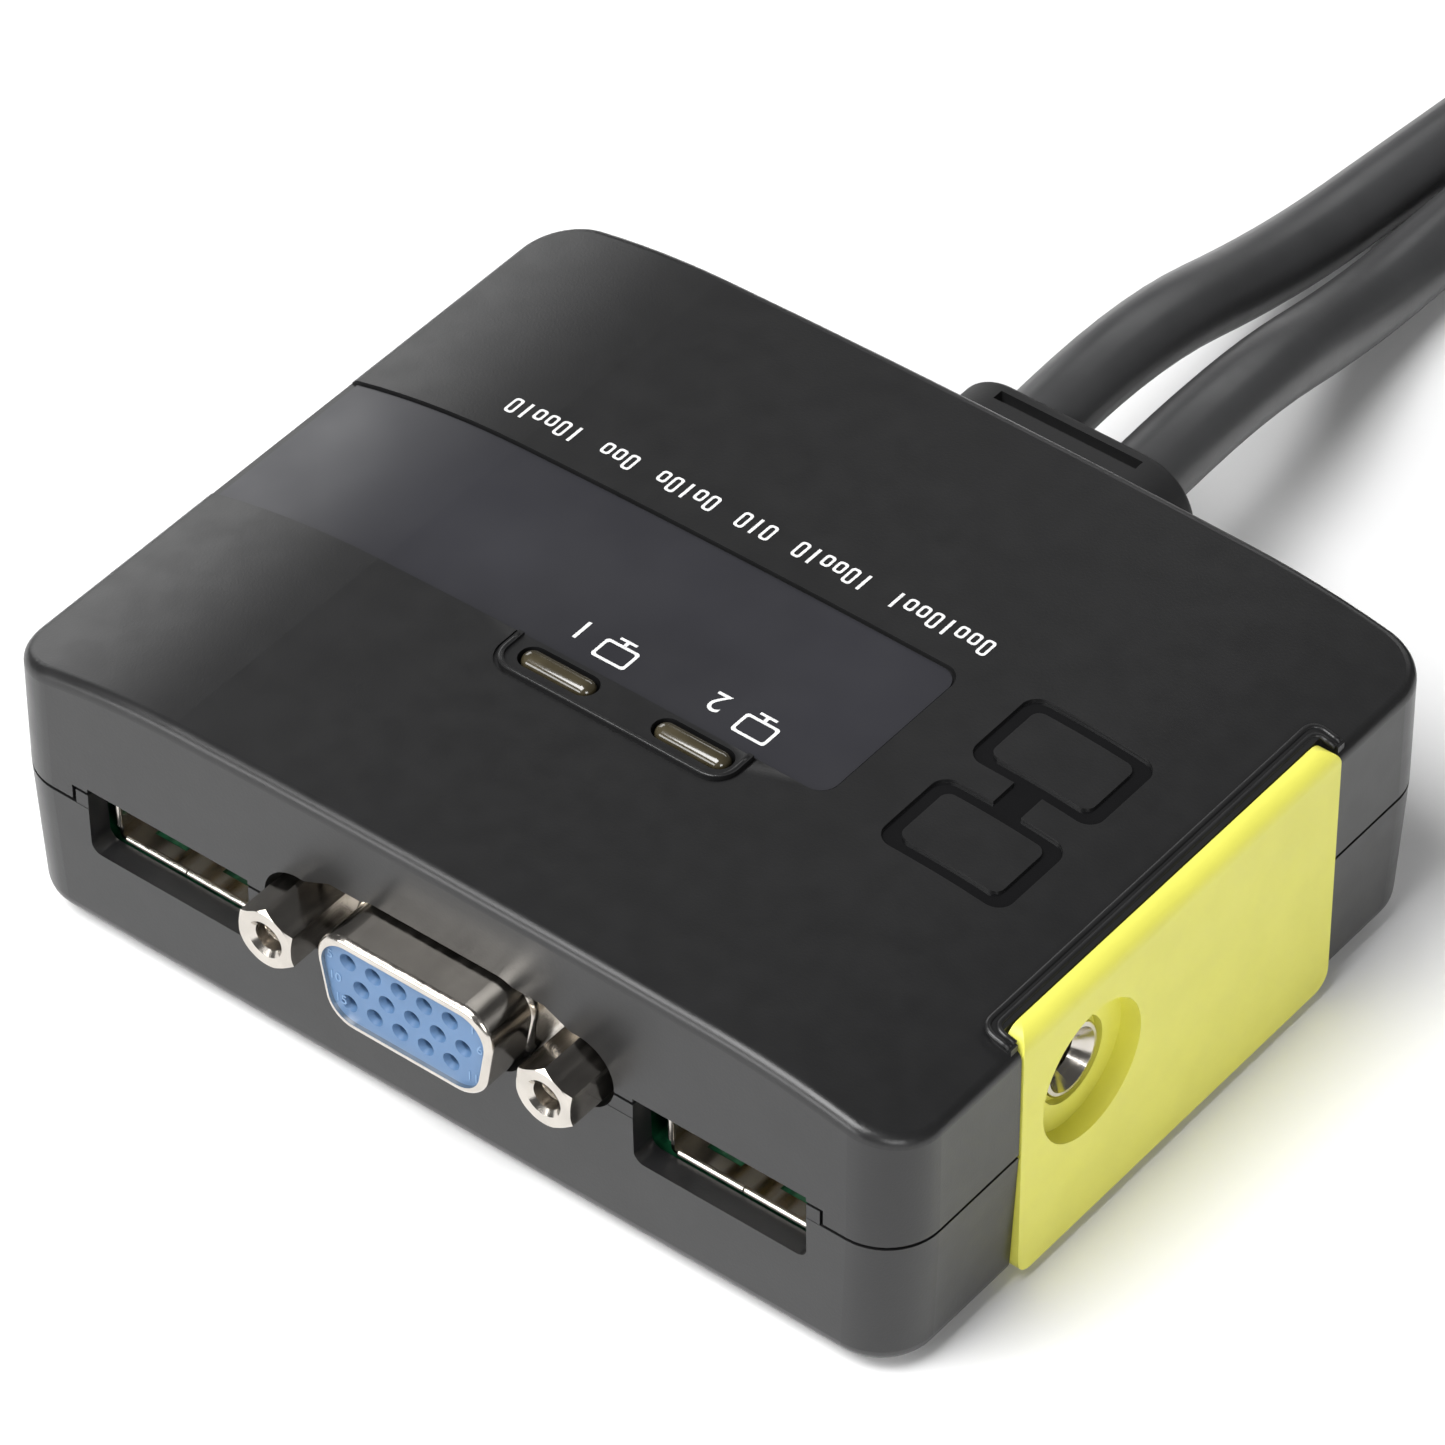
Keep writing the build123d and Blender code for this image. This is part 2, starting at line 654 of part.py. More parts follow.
def make_vga_bracket():
    """The plated plate behind the front wall that carries the socket and its nuts."""
    half, margin = BRACKET_HALF_WIDTH, 1.2
    back_y = FLANGE_Y + BRACKET_THICKNESS
    plate = block(-half, half, FLANGE_Y, back_y, PCB_TOP + 0.1, VGA_Z + BRACKET_RISE)
    hole = (SOCKET_SHELL_WIDTH - margin, SOCKET_SHELL_HEIGHT - margin)
    plate -= d_solid(*hole, FLANGE_Y - 1, back_y + 1)
    for side in (-1, 1):
        start = (side * JACKSCREW_X, FLANGE_Y - 1, VGA_Z)
        plate -= rod(start, (0, 1, 0), JACKSCREW_SHANK[0] + 0.1, BRACKET_THICKNESS + 3)
    return plate


def make_vga_shell():
    """The drawn shell of the socket: a D-shaped sleeve with a bulged root."""
    sleeve = d_solid(SOCKET_SHELL_WIDTH, SOCKET_SHELL_HEIGHT, VGA_FACE_Y, FLANGE_Y)
    front = sleeve.edges().group_by(Axis.Y)[0]
    sleeve = fillet(front, SHELL_RIM)
    root_y = FLANGE_Y - SHELL_ROOT_DEPTH
    more_width, more_height = SHELL_ROOT_GROWTH
    root_size = (SOCKET_SHELL_WIDTH + more_width, SOCKET_SHELL_HEIGHT + more_height)
    root = d_solid(*root_size, root_y, FLANGE_Y)
    root = fillet(root.edges().group_by(Axis.Y)[0], SHELL_ROOT_FILLET)
    inner_width = SOCKET_SHELL_WIDTH - 2 * SHELL_THICKNESS
    inner_height = SOCKET_SHELL_HEIGHT - 2 * SHELL_THICKNESS
    return sleeve + root - d_solid(inner_width, inner_height, VGA_FACE_Y - 1, FLANGE_Y + 1)


def make_vga_insulator():
    """The coloured insert with fifteen tapered holes."""
    width = SOCKET_SHELL_WIDTH - 2 * SHELL_THICKNESS
    height = SOCKET_SHELL_HEIGHT - 2 * SHELL_THICKNESS
    face_y = VGA_FACE_Y + INSERT_SETBACK
    back_y = FLANGE_Y + BRACKET_THICKNESS
    neck = (SOCKET_SHELL_WIDTH - 2.4, SOCKET_SHELL_HEIGHT - 1.5)
    insert = d_solid(width, height, face_y, FLANGE_Y)
    insert += d_solid(*neck, FLANGE_Y, back_y)
    insert += block(-8.0, 8.0, back_y, FLANGE_Y + 7.0, PCB_TOP, VGA_Z + 4.0)
    for x, z in pin_places():
        insert -= rod((x, VGA_FACE_Y, VGA_Z + z), (0, 1, 0), CONTACT_HOLE_RADIUS, 8)
        mouth = Cone(CONTACT_HOLE_RADIUS, CONTACT_MOUTH_RADIUS, 1.0)
        insert -= Pos(x, face_y, VGA_Z + z) * Rot(90, 0, 0) * mouth
    return insert


def make_vga_contacts():
    """Fifteen spring tubes inside the insert."""
    start_y = VGA_FACE_Y + CONTACT_SETBACK
    contacts = []
    for x, z in pin_places():
        tube = rod((x, start_y, VGA_Z + z), (0, 1, 0), CONTACT_RADIUS, CONTACT_LENGTH)
        tube -= rod((x, start_y - 0.2, VGA_Z + z), (0, 1, 0), CONTACT_BORE, CONTACT_LENGTH - 1)
        contacts.append(tube)
    return contacts


def make_jackscrews():
    """Two hexagonal nuts, a flat side up, with a chamfered face and a bore."""
    length = FLANGE_Y - VGA_FACE_Y
    mouth_radius, mouth_depth = JACKSCREW_MOUTH
    shank_radius, shank_length = JACKSCREW_SHANK
    bore_radius = THREAD_RADIUS - THREAD_HEIGHT
    cone_length = 10
    cone_base = JACKSCREW_FACE_RADIUS + JACKSCREW_CHAMFER_SLOPE * cone_length
    nuts = []
    for side in (-1, 1):
        x = side * JACKSCREW_X
        plane = Plane(origin=(x, FLANGE_Y, VGA_Z), x_dir=(1, 0, 0), z_dir=(0, -1, 0))
        hexagon = RegularPolygon(JACKSCREW_ACROSS_FLATS / 2, 6, major_radius=False, rotation=30)
        nut = extrude(plane * hexagon, length)
        cone = Cone(cone_base, JACKSCREW_FACE_RADIUS, cone_length)
        nut &= Pos(x, VGA_FACE_Y + cone_length / 2, VGA_Z) * Rot(90, 0, 0) * cone
        nut -= rod((x, VGA_FACE_Y - 1, VGA_Z), (0, 1, 0), bore_radius, length)
        mouth = Cone(bore_radius - 0.17, mouth_radius, mouth_depth)
        nut -= Pos(x, VGA_FACE_Y + 0.2, VGA_Z) * Rot(90, 0, 0) * mouth
        nut += rod((x, FLANGE_Y, VGA_Z), (0, 1, 0), shank_radius, shank_length)
        nuts.append(nut)
    return nuts


def make_usb_shell(side):
    """The folded sheet shell, open at the front, with two windows in its floor."""
    x = side * USB_X
    half = USB_OPENING_WIDTH / 2
    z_top = USB_FLOOR_Z + USB_OPENING_HEIGHT
    back_y = USB_FACE_Y + USB_LENGTH
    shell = block(
        x - half - USB_SHEET,
        x + half + USB_SHEET,
        USB_FACE_Y,
        back_y,
        USB_FLOOR_Z - USB_SHEET,
        z_top + USB_SHEET,
    )
    shell = fillet(shell.edges().filter_by(Axis.Y), USB_SHEET + 0.2)
    shell -= block(x - half, x + half, USB_FACE_Y - 1, back_y - USB_SHEET, USB_FLOOR_Z, z_top)
    start_y, end_y = USB_FACE_Y + USB_WINDOW_FROM, USB_FACE_Y + USB_WINDOW_TO
    spring_y = USB_FACE_Y + USB_SPRING_FROM
    for shift in (-USB_WINDOW_X, USB_WINDOW_X):
        middle = x + shift
        window = block(middle - USB_WINDOW_HALF, middle + USB_WINDOW_HALF, start_y, end_y, 0, 10)
        window -= block(middle - USB_SPRING_HALF, middle + USB_SPRING_HALF, spring_y, end_y + 1, 0, 11)
        shell -= window
    return shell


def make_usb_tongue(side):
    """The white tongue hangs under the roof of the shell, with a block at the back."""
    x = side * USB_X
    z_top = USB_FLOOR_Z + USB_OPENING_HEIGHT
    z_low = z_top - USB_TONGUE_THICKNESS
    tongue_end = USB_FACE_Y + USB_TONGUE_LENGTH
    block_end = USB_FACE_Y + USB_BLOCK_END
    half = USB_TONGUE_HALF
    tongue = block(x - half, x + half, USB_FACE_Y + 1.0, tongue_end, z_low, z_top)
    half = USB_BLOCK_HALF
    return tongue + block(x - half, x + half, tongue_end, block_end, USB_FLOOR_Z, z_top)


def make_usb_contacts(side):
    """Four flat springs under the tongue."""
    x = side * USB_X
    z_high = USB_FLOOR_Z + USB_OPENING_HEIGHT - USB_TONGUE_THICKNESS
    start_y, end_y = USB_FACE_Y + 1.6, USB_FACE_Y + 9.8
    half, thickness = 0.5, 0.25
    return [
        block(x + shift - half, x + shift + half, start_y, end_y, z_high - thickness, z_high)
        for shift in USB_CONTACT_X
    ]


def make_jack_body():
    """The plastic body of the 3.5 mm audio jack."""
    face = BODY_WIDTH / 2 + PANEL_PROUD - JACK_DISH_DEPTH - FERRULE_FACE_LENGTH
    y_low, y_high = JACK_Y - JACK_BODY_HALF, JACK_Y + JACK_BODY_HALF
    body = block(face - JACK_DEPTH, face, y_low, y_high, PCB_TOP, JACK_Z + JACK_BODY_HALF)
    start = (face - JACK_DEPTH + 1, JACK_Y, JACK_Z)
    return body - rod(start, (1, 0, 0), JACK_BORE / 2 + JACK_WALL, JACK_DEPTH)


def make_jack_ferrule():
    """The bright sleeve of the audio jack, with a countersunk mouth."""
    face = BODY_WIDTH / 2 + PANEL_PROUD - JACK_DISH_DEPTH
    inner_face = face - FERRULE_FACE_LENGTH
    back = face - FERRULE_LENGTH
    mouth_radius, mouth_depth = FERRULE_MOUTH
    sleeve = rod((inner_face, JACK_Y, JACK_Z), (1, 0, 0), FERRULE_DIAMETER / 2, FERRULE_FACE_LENGTH)
    sleeve = fillet(sleeve.edges().group_by(Axis.X)[-1], 0.2)
    sleeve += rod((back, JACK_Y, JACK_Z), (1, 0, 0), JACK_BORE / 2 + JACK_WALL, inner_face - back + 0.2)
    sleeve -= rod((back - 1, JACK_Y, JACK_Z), (1, 0, 0), JACK_BORE / 2, FERRULE_LENGTH + 2)
    mouth = Cone(JACK_BORE / 2, mouth_radius, mouth_depth)
    return sleeve - Pos(face - mouth_depth / 2, JACK_Y, JACK_Z) * Rot(0, 90, 0) * mouth


def make_jack_springs():
    """Three leaf contacts inside the jack body."""
    pitch, length, half_width = 2.4, 1.2, 0.4
    z_low, z_high = JACK_Z - 2.0, JACK_Z - JACK_BORE / 2
    springs = []
    for step in range(3):
        x = BODY_WIDTH / 2 - JACK_DEPTH + 2 + pitch * step
        springs.append(block(x, x + length, JACK_Y - half_width, JACK_Y + half_width, z_low, z_high))
    return springs


def make_chip(x, y, width, depth, height):
    """A packaged chip with legs along two sides."""
    pitch, leg_half, leg_reach, leg_height = 1.27, 0.2, 1.0, 0.5
    y_low, y_high = y - depth / 2, y + depth / 2
    chip = block(x - width / 2, x + width / 2, y_low, y_high, PCB_TOP + 0.15, PCB_TOP + height)
    count = int(width / pitch) - 1
    for number in range(count):
        leg_x = x + (number - (count - 1) / 2) * pitch
        chip += block(
            leg_x - leg_half,
            leg_x + leg_half,
            y_low - leg_reach,
            y_high + leg_reach,
            PCB_TOP,
            PCB_TOP + leg_height,
        )
    return chip


def make_capacitors():
    """Three upright capacitors at the back of the board."""
    can = extrude(Circle(2.5), 6.0)
    return [Pos(x, 12.0, PCB_TOP) * can for x in (-27.0, -20.5, 26.0)]


def make_cable_headers():
    """Two pin headers that take the wires of the cables."""
    half, y_low, y_high, height = 5.0, 12.5, 17.0, 5.5
    return [
        block(x - half, x + half, y_low, y_high, PCB_TOP, PCB_TOP + height)
        for x in (-8.0, 10.0)
    ]


def make_inner_cables():
    """The cable ends inside the case, up to the outer face of the grommet."""
    length = GROMMET_END - INNER_CABLE_START
    return [
        rod((x, INNER_CABLE_START, CABLE_EXIT_Z), (0, 1, 0), CABLE_DIAMETER / 2, length)
        for x in CABLE_EXIT_X
    ]


def make_strain_relief():
    """The rubber grommet with its inner collar, flex slots and two cable holes."""
    wall_inside = BODY_REAR - WALL
    relief = grommet_prism(0, wall_inside - 0.2, GROMMET_END)
    outer_rim = relief.edges().group_by(Axis.Y)[-1]
    relief = fillet(outer_rim, GROMMET_RIM)
    relief += grommet_prism(GROMMET_COLLAR_GROWTH, wall_inside - GROMMET_COLLAR, wall_inside - 0.2)
    x_low, x_high = GROMMET_X - GROMMET_SLOT_HALF, GROMMET_X + GROMMET_SLOT_HALF
    for y in GROMMET_SLOTS_Y:
        ring = grommet_prism(1, y, y + GROMMET_SLOT_WIDTH) - grommet_prism(-1.0, y - 1, y + 2)
        upper = ring & block(x_low, x_high, y - 1, y + 2, GROMMET_Z, BEYOND)
        lower = ring & block(x_low, x_high, y - 1, y + 2, 0, GROMMET_Z)
        relief -= upper + lower
    for x in CABLE_EXIT_X:
        relief -= rod((x, 0, CABLE_EXIT_Z), (0, 1, 0), CABLE_DIAMETER / 2, BEYOND)
    return relief


def make_case_screws():
    """Four self-tapping screws from below into the posts of the top cover."""
    head_radius, head_height = SCREW_HEAD
    slot_length, slot_width = CROSS_SLOT
    cross = Rectangle(slot_length, slot_width) + Rectangle(slot_width, slot_length)
    head_z = FOOT_HEIGHT + SCREW_HEAD_SETBACK
    screws = []
    for x, y in SCREW_PLACES:
        head = Pos(x, y, head_z) * extrude(Circle(head_radius), head_height)
        head -= Pos(x, y, FOOT_HEIGHT) * extrude(cross, CROSS_DEPTH)
        shank = Pos(x, y, FOOT_HEIGHT + 2) * extrude(Circle(PILOT_RADIUS), SCREW_LENGTH)
        screws.append(head + shank)
    return screws


def make_rubber_feet():
    """Four round feet under the corners."""
    feet = []
    for x, y in FOOT_PLACES:
        foot = Pos(x, y, 0) * extrude(Circle(FOOT_RADIUS), FOOT_HEIGHT)
        feet.append(fillet(foot.edges().group_by(Axis.Z)[0], FOOT_EDGE))
    return feet


def tangent_radii(points):
    """Each corner's arc is as large as its two straight runs allow."""
    radii = []
    for before, here, after in zip(points, points[1:], points[2:]):
        first = Vector(*here) - Vector(*before)
        second = Vector(*after) - Vector(*here)
        half_turn = math.radians(first.get_angle(second)) / 2
        radii.append(0.45 * min(first.length, second.length) / math.tan(half_turn))
    return radii


def make_tube(name, points, diameter):
    """A round cable along straight runs joined by tangent arcs."""
    radii = tangent_radii(points)
    path = FilletPolyline(*points, radius=radii)
    section = Plane(origin=path @ 0, z_dir=path % 0) * Circle(diameter / 2)
    print(f"{name}: length {path.length:.1f}, smallest arc {min(radii):.1f}")
    return sweep(section, path=path)


def make_coil(radius):
    """The outer shape of one cable's stacked turns."""
    x, y = COIL_CENTRE
    half = CABLE_DIAMETER / 2
    ring = Circle(radius + half) - Circle(radius - half)
    return Pos(x, y, 0) * extrude(ring, COIL_TURNS * CABLE_DIAMETER)


def make_coil_ties():
    """Two soft straps around both sets of turns."""
    ties = []
    outer = max(COIL_RADII) + CABLE_DIAMETER / 2
    inner = min(COIL_RADII) - CABLE_DIAMETER / 2
    height = COIL_TURNS * CABLE_DIAMETER
    for angle in TIE_ANGLES:
        strap = block(
            inner - TIE_THICKNESS,
            outer + TIE_THICKNESS,
            -TIE_WIDTH / 2,
            TIE_WIDTH / 2,
            0,
            height + TIE_THICKNESS,
        )
        strap = fillet(strap.edges().filter_by(Axis.Y), TIE_CORNER)
        strap = Pos(*COIL_CENTRE, 0) * Rot(0, 0, angle) * strap
        for radius in COIL_RADII:
            strap -= make_coil(radius)
        ties.append(strap)
    return ties


def make_plug_overmould(place):
    """The moulded grip of a computer-end video plug, with its tapered relief."""
    relief_end = PLUG_RELIEF_LENGTH
    body_end = relief_end + PLUG_BODY_LENGTH
    nose_end = body_end + PLUG_NOSE_LENGTH
    half = PLUG_HEIGHT / 2
    body = block(-PLUG_BODY_WIDTH / 2, PLUG_BODY_WIDTH / 2, relief_end, body_end + 1, -half, half)
    body = fillet(body.edges().group_by(Axis.Y)[0] + body.edges().filter_by(Axis.Y), PLUG_BODY_EDGE)
    nose = block(-PLUG_NOSE_WIDTH / 2, PLUG_NOSE_WIDTH / 2, body_end, nose_end, -half, half)
    nose = fillet(nose.edges().filter_by(Axis.Y), PLUG_NOSE_EDGE)
    relief = Cone(*PLUG_RELIEF_RADII, relief_end + 1)
    grip = body + nose + Pos(0, relief_end / 2 + 0.5, 0) * Rot(-90, 0, 0) * relief
    for side in (-1, 1):
        start = (side * JACKSCREW_X, body_end - 1, 0)
        grip -= rod(start, (0, 1, 0), THREAD_RADIUS + THUMB_CLEARANCE, 2 * PLUG_NOSE_LENGTH)
    return place * grip


def make_plug_shell(place):
    """The plated flange and D-shaped sleeve of the video plug."""
    start = PLUG_RELIEF_LENGTH + PLUG_BODY_LENGTH + PLUG_NOSE_LENGTH
    width, height, thickness = PLUG_FLANGE
    plate = block(-width / 2, width / 2, start, start + thickness, -height / 2, height / 2)
    plate = fillet(plate.edges().filter_by(Axis.Y), PLUG_FLANGE_CORNER)
    for side in (-1, 1):
        hole = (side * JACKSCREW_X, start - 1, 0)
        plate -= rod(hole, (0, 1, 0), THREAD_RADIUS + THUMB_CLEARANCE, thickness + 2)
    sleeve = d_solid(PLUG_SHELL_WIDTH, PLUG_SHELL_HEIGHT, start, start + PLUG_SHELL_LENGTH, (0, 0))
    return place * (plate + sleeve - plug_shell_inside(start + thickness, start + 2 * PLUG_SHELL_LENGTH))


def plug_shell_inside(y_low, y_high):
    """The space inside the video plug's sleeve."""
    width = PLUG_SHELL_WIDTH - 2 * PLUG_SHELL_SHEET
    height = PLUG_SHELL_HEIGHT - 2 * PLUG_SHELL_SHEET
    return d_solid(width, height, y_low, y_high, (0, 0))


def make_plug_insulator(place):
    """The insert at the bottom of the plug shell."""
    start = PLUG_RELIEF_LENGTH + PLUG_BODY_LENGTH + PLUG_NOSE_LENGTH + PLUG_FLANGE[2]
    return place * plug_shell_inside(start, start + PLUG_INSERT_DEPTH)


def make_plug_pins(place):
    """Fifteen pins in three rows."""
    start = PLUG_RELIEF_LENGTH + PLUG_BODY_LENGTH + PLUG_NOSE_LENGTH + PLUG_FLANGE[2] + PLUG_INSERT_DEPTH
    return [place * rod((x, start, z), (0, 1, 0), PIN_RADIUS, PIN_LENGTH) for x, z in pin_places()]


def make_thumbscrew(place, side):
    """A long screw with a grooved head that turns beside the plug body."""
    body_end = PLUG_RELIEF_LENGTH + PLUG_BODY_LENGTH
    x = side * JACKSCREW_X
    head_y = body_end - 0.4 - THUMB_HEAD_LENGTH
    head = rod((x, head_y, 0), (0, 1, 0), THUMB_HEAD_RADIUS, THUMB_HEAD_LENGTH)
    head = chamfer(head.edges(), THUMB_EDGE)
    for step in range(THUMB_GROOVES):
        angle = 2 * math.pi * step / THUMB_GROOVES
        groove_x = x + THUMB_HEAD_RADIUS * math.cos(angle)
        groove_z = THUMB_HEAD_RADIUS * math.sin(angle)
        start = (groove_x, head_y + 1.4, groove_z)
        head -= rod(start, (0, 1, 0), THUMB_GROOVE_RADIUS, THUMB_GROOVE_LENGTH)
    shaft_length = PLUG_NOSE_LENGTH + THUMB_SHAFT_PAST_NOSE + 2
    shaft = rod((x, body_end - 2, 0), (0, 1, 0), THREAD_RADIUS, shaft_length)
    shaft = chamfer(shaft.edges().group_by(Axis.Y)[-1], 0.3)
    return place * (head + shaft)


def make_usb_plug_overmould(place):
    """The grip of the USB plug with its short tapered relief."""
    grip = block(
        -USB_PLUG_WIDTH / 2,
        USB_PLUG_WIDTH / 2,
        USB_PLUG_RELIEF,
        USB_PLUG_RELIEF + USB_PLUG_LENGTH,
        -USB_PLUG_HEIGHT / 2,
        USB_PLUG_HEIGHT / 2,
    )
    grip = fillet(grip.edges(), USB_PLUG_EDGE)
    relief = Cone(*USB_PLUG_RELIEF_RADII, USB_PLUG_RELIEF + 1)
    return place * (grip + Pos(0, USB_PLUG_RELIEF / 2 + 0.5, 0) * Rot(-90, 0, 0) * relief)


def make_usb_plug_shell(place):
    """The square metal sleeve of the USB plug."""
    width, height, length = USB_PLUG_SHELL
    start = USB_PLUG_RELIEF + USB_PLUG_LENGTH
    sleeve = block(-width / 2, width / 2, start, start + length, -height / 2, height / 2)
    inner_x, inner_z = width / 2 - USB_SHEET, height / 2 - USB_SHEET
    sleeve -= block(-inner_x, inner_x, start, start + length + 1, -inner_z, inner_z)
    window_x, window_half, window_from, window_to = 2.8, 1.2, 5.0, 7.5
    for middle in (-window_x, window_x):
        x_low, x_high = middle - window_half, middle + window_half
        sleeve -= block(x_low, x_high, start + window_from, start + window_to, 0, height)
    return place * sleeve


def make_usb_plug_tongue(place):
    """The half-height tongue inside the USB sleeve."""
    width, height, length = USB_PLUG_SHELL
    start = USB_PLUG_RELIEF + USB_PLUG_LENGTH
    inner_half = width / 2 - USB_SHEET
    tongue = block(-inner_half, inner_half, start, start + length - 0.4, -height / 2 + USB_SHEET, -0.1)
    return place * tongue


def add(name, shape):
    """Keep a sub-part under its node name; a list becomes one node of separate solids."""
    if isinstance(shape, list):
        shape = Compound(children=shape)
    shape.label = name
    NODES[name] = shape


def add_case():
    """The two covers, the panel, the film, the light pipes, the screws and the feet."""
    add("top_cover", make_top_cover())
    add("bottom_cover", make_bottom_cover())
    add("side_panel", make_side_panel())
    add("label_overlay", make_label_overlay())
    for number, x in enumerate(LENS_CENTRES, 1):
        add(f"light_pipe_{number}", make_light_pipe(x))
    add("case_screws", make_case_screws())
    add("rubber_feet", make_rubber_feet())


def add_electronics():
    """The board, what stands on it, and the sockets."""
    add("pcb", make_pcb())
    add("indicator_leds", make_indicator_leds())
    add("vga_bracket", make_vga_bracket())
    add("vga_shell", make_vga_shell())
    add("vga_insulator", make_vga_insulator())
    add("vga_contacts", make_vga_contacts())
    add("jackscrews", make_jackscrews())
    for name, side in (("left", -1), ("right", 1)):
        add(f"usb_shell_{name}", make_usb_shell(side))
        add(f"usb_tongue_{name}", make_usb_tongue(side))
        add(f"usb_contacts_{name}", make_usb_contacts(side))
    add("jack_body", make_jack_body())
    add("jack_ferrule", make_jack_ferrule())
    add("jack_springs", make_jack_springs())
    add("switching_chip", make_chip(-2.0, -3.0, 12.0, 10.0, 1.6))
    add("video_buffers", [make_chip(x, -8.0, 6.0, 4.0, 1.5) for x in (-22.0, 17.0)])
    add("crystal", rounded_block(10.0, 21.0, 0.0, 4.6, PCB_TOP, PCB_TOP + 3.5, 2.2))
    add("capacitors", make_capacitors())
    add("cable_headers", make_cable_headers())


def add_cables():
    """The grommet and the two cables: a straight run, a coil and a tail each."""
    add("strain_relief", make_strain_relief())
    add("inner_cables", make_inner_cables())
    for number, points in enumerate(CABLE_ROUTES, 1):
        add(f"cable_{number}", make_tube(f"cable_{number}", points, CABLE_DIAMETER))
    for number, points in enumerate(TAIL_ROUTES, 1):
        add(f"cable_{number}_tail", make_tube(f"cable_{number}_tail", points, CABLE_DIAMETER))
    for number, radius in enumerate(COIL_RADII, 1):
        add(f"cable_{number}_coil", make_coil(radius))
    add("coil_ties", make_coil_ties())


def add_plugs():
    """The plugs at the computer end of each cable."""
    for number in (1, 2):
        place = Pos(*TAIL_ROUTES[number - 1][-1])
        add(f"vga_plug_{number}_overmould", make_plug_overmould(place))
        add(f"vga_plug_{number}_shell", make_plug_shell(place))
        add(f"vga_plug_{number}_insulator", make_plug_insulator(place))
        add(f"vga_plug_{number}_pins", make_plug_pins(place))
        for name, side in (("left", -1), ("right", 1)):
            add(f"thumbscrew_{number}_{name}", make_thumbscrew(place, side))
        route = LEAD_ROUTES[number - 1]
        add(f"usb_lead_{number}", make_tube(f"usb_lead_{number}", route, LEAD_DIAMETER))
        place = Pos(*route[-1])
        add(f"usb_plug_{number}_overmould", make_usb_plug_overmould(place))
        add(f"usb_plug_{number}_shell", make_usb_plug_shell(place))
        add(f"usb_plug_{number}_tongue", make_usb_plug_tongue(place))


add_case()
add_electronics()
add_cables()
add_plugs()

os.makedirs("parts", exist_ok=True)
for node_name, node_shape in NODES.items():
    export_step(node_shape, f"parts/{node_name}.step")
print(len(NODES), "nodes")
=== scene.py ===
import json
import math

import bmesh
import bpy
from mathutils import Matrix, Vector

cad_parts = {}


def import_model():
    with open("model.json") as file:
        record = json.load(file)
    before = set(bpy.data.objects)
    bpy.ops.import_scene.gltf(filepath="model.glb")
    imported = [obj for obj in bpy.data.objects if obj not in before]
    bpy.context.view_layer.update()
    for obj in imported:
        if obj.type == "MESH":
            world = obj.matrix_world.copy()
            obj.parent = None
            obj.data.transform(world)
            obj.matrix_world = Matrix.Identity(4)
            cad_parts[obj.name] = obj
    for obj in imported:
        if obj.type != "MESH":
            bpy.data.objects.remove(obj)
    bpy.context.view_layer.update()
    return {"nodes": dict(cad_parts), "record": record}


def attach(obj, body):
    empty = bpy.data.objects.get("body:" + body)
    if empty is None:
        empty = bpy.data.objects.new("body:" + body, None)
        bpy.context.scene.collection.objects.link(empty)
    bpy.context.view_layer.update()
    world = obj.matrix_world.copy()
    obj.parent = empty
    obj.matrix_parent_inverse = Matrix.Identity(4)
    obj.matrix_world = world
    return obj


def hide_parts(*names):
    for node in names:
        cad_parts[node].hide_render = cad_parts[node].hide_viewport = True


MM = 0.001

# Camera: where it looks, how far away it stands and how it is turned.
CAMERA_TARGET = Vector((-1.37, -1.28, 14.8)) * MM
CAMERA_DISTANCE = 584.0 * MM
CAMERA_AZIMUTH = math.radians(38.61)
CAMERA_ELEVATION = math.radians(42.88)
CAMERA_ROLL = math.radians(-0.27)
CAMERA_LENS = 203.7

WORLD_STRENGTH = 0.10
CASE_CENTRE = (0, 0, 0.01)
LIGHTS = (
    ("key", (-0.25, -0.75, 1.45), CASE_CENTRE, (1.0, 0.9), 34.0),
    ("front_fill", (-0.60, -1.50, 0.55), CASE_CENTRE, (1.2, 0.6), 14.0),
    ("right_front", (1.35, -0.80, 0.75), CASE_CENTRE, (0.6, 0.6), 9.0),
    ("back_left", (-1.55, 0.80, 0.72), CASE_CENTRE, (0.8, 0.8), 5.5),
    ("back_wash", (-0.4, 2.1, 1.2), (0.0, 0.3, 0.0), (1.6, 0.5), 6.0),
)

# The crown of the top cover: a flat arc out to the knees and a steeper arc from each to the edge.
CROWN_Z = 25.9
CROWN_FALL = 1.07e-6
CROWN_KNEE = 24.0
CROWN_HALF = 44.0
FILM_DEPTH = 0.25
EMBLEM_PLACE = (26.6, -3.8)
EMBLEM_DEPTH = 0.3
INK_THICKNESS = 0.02

# The line of blocks beside the band: one word after another, read from +X to -X.
LINE_START_X = 16.3
LINE_END_X = -27.7
LINE_Y = 6.95
LINE_HEIGHT = 1.75
WORD_LENGTHS = (8, 6, 3, 5, 3, 6)

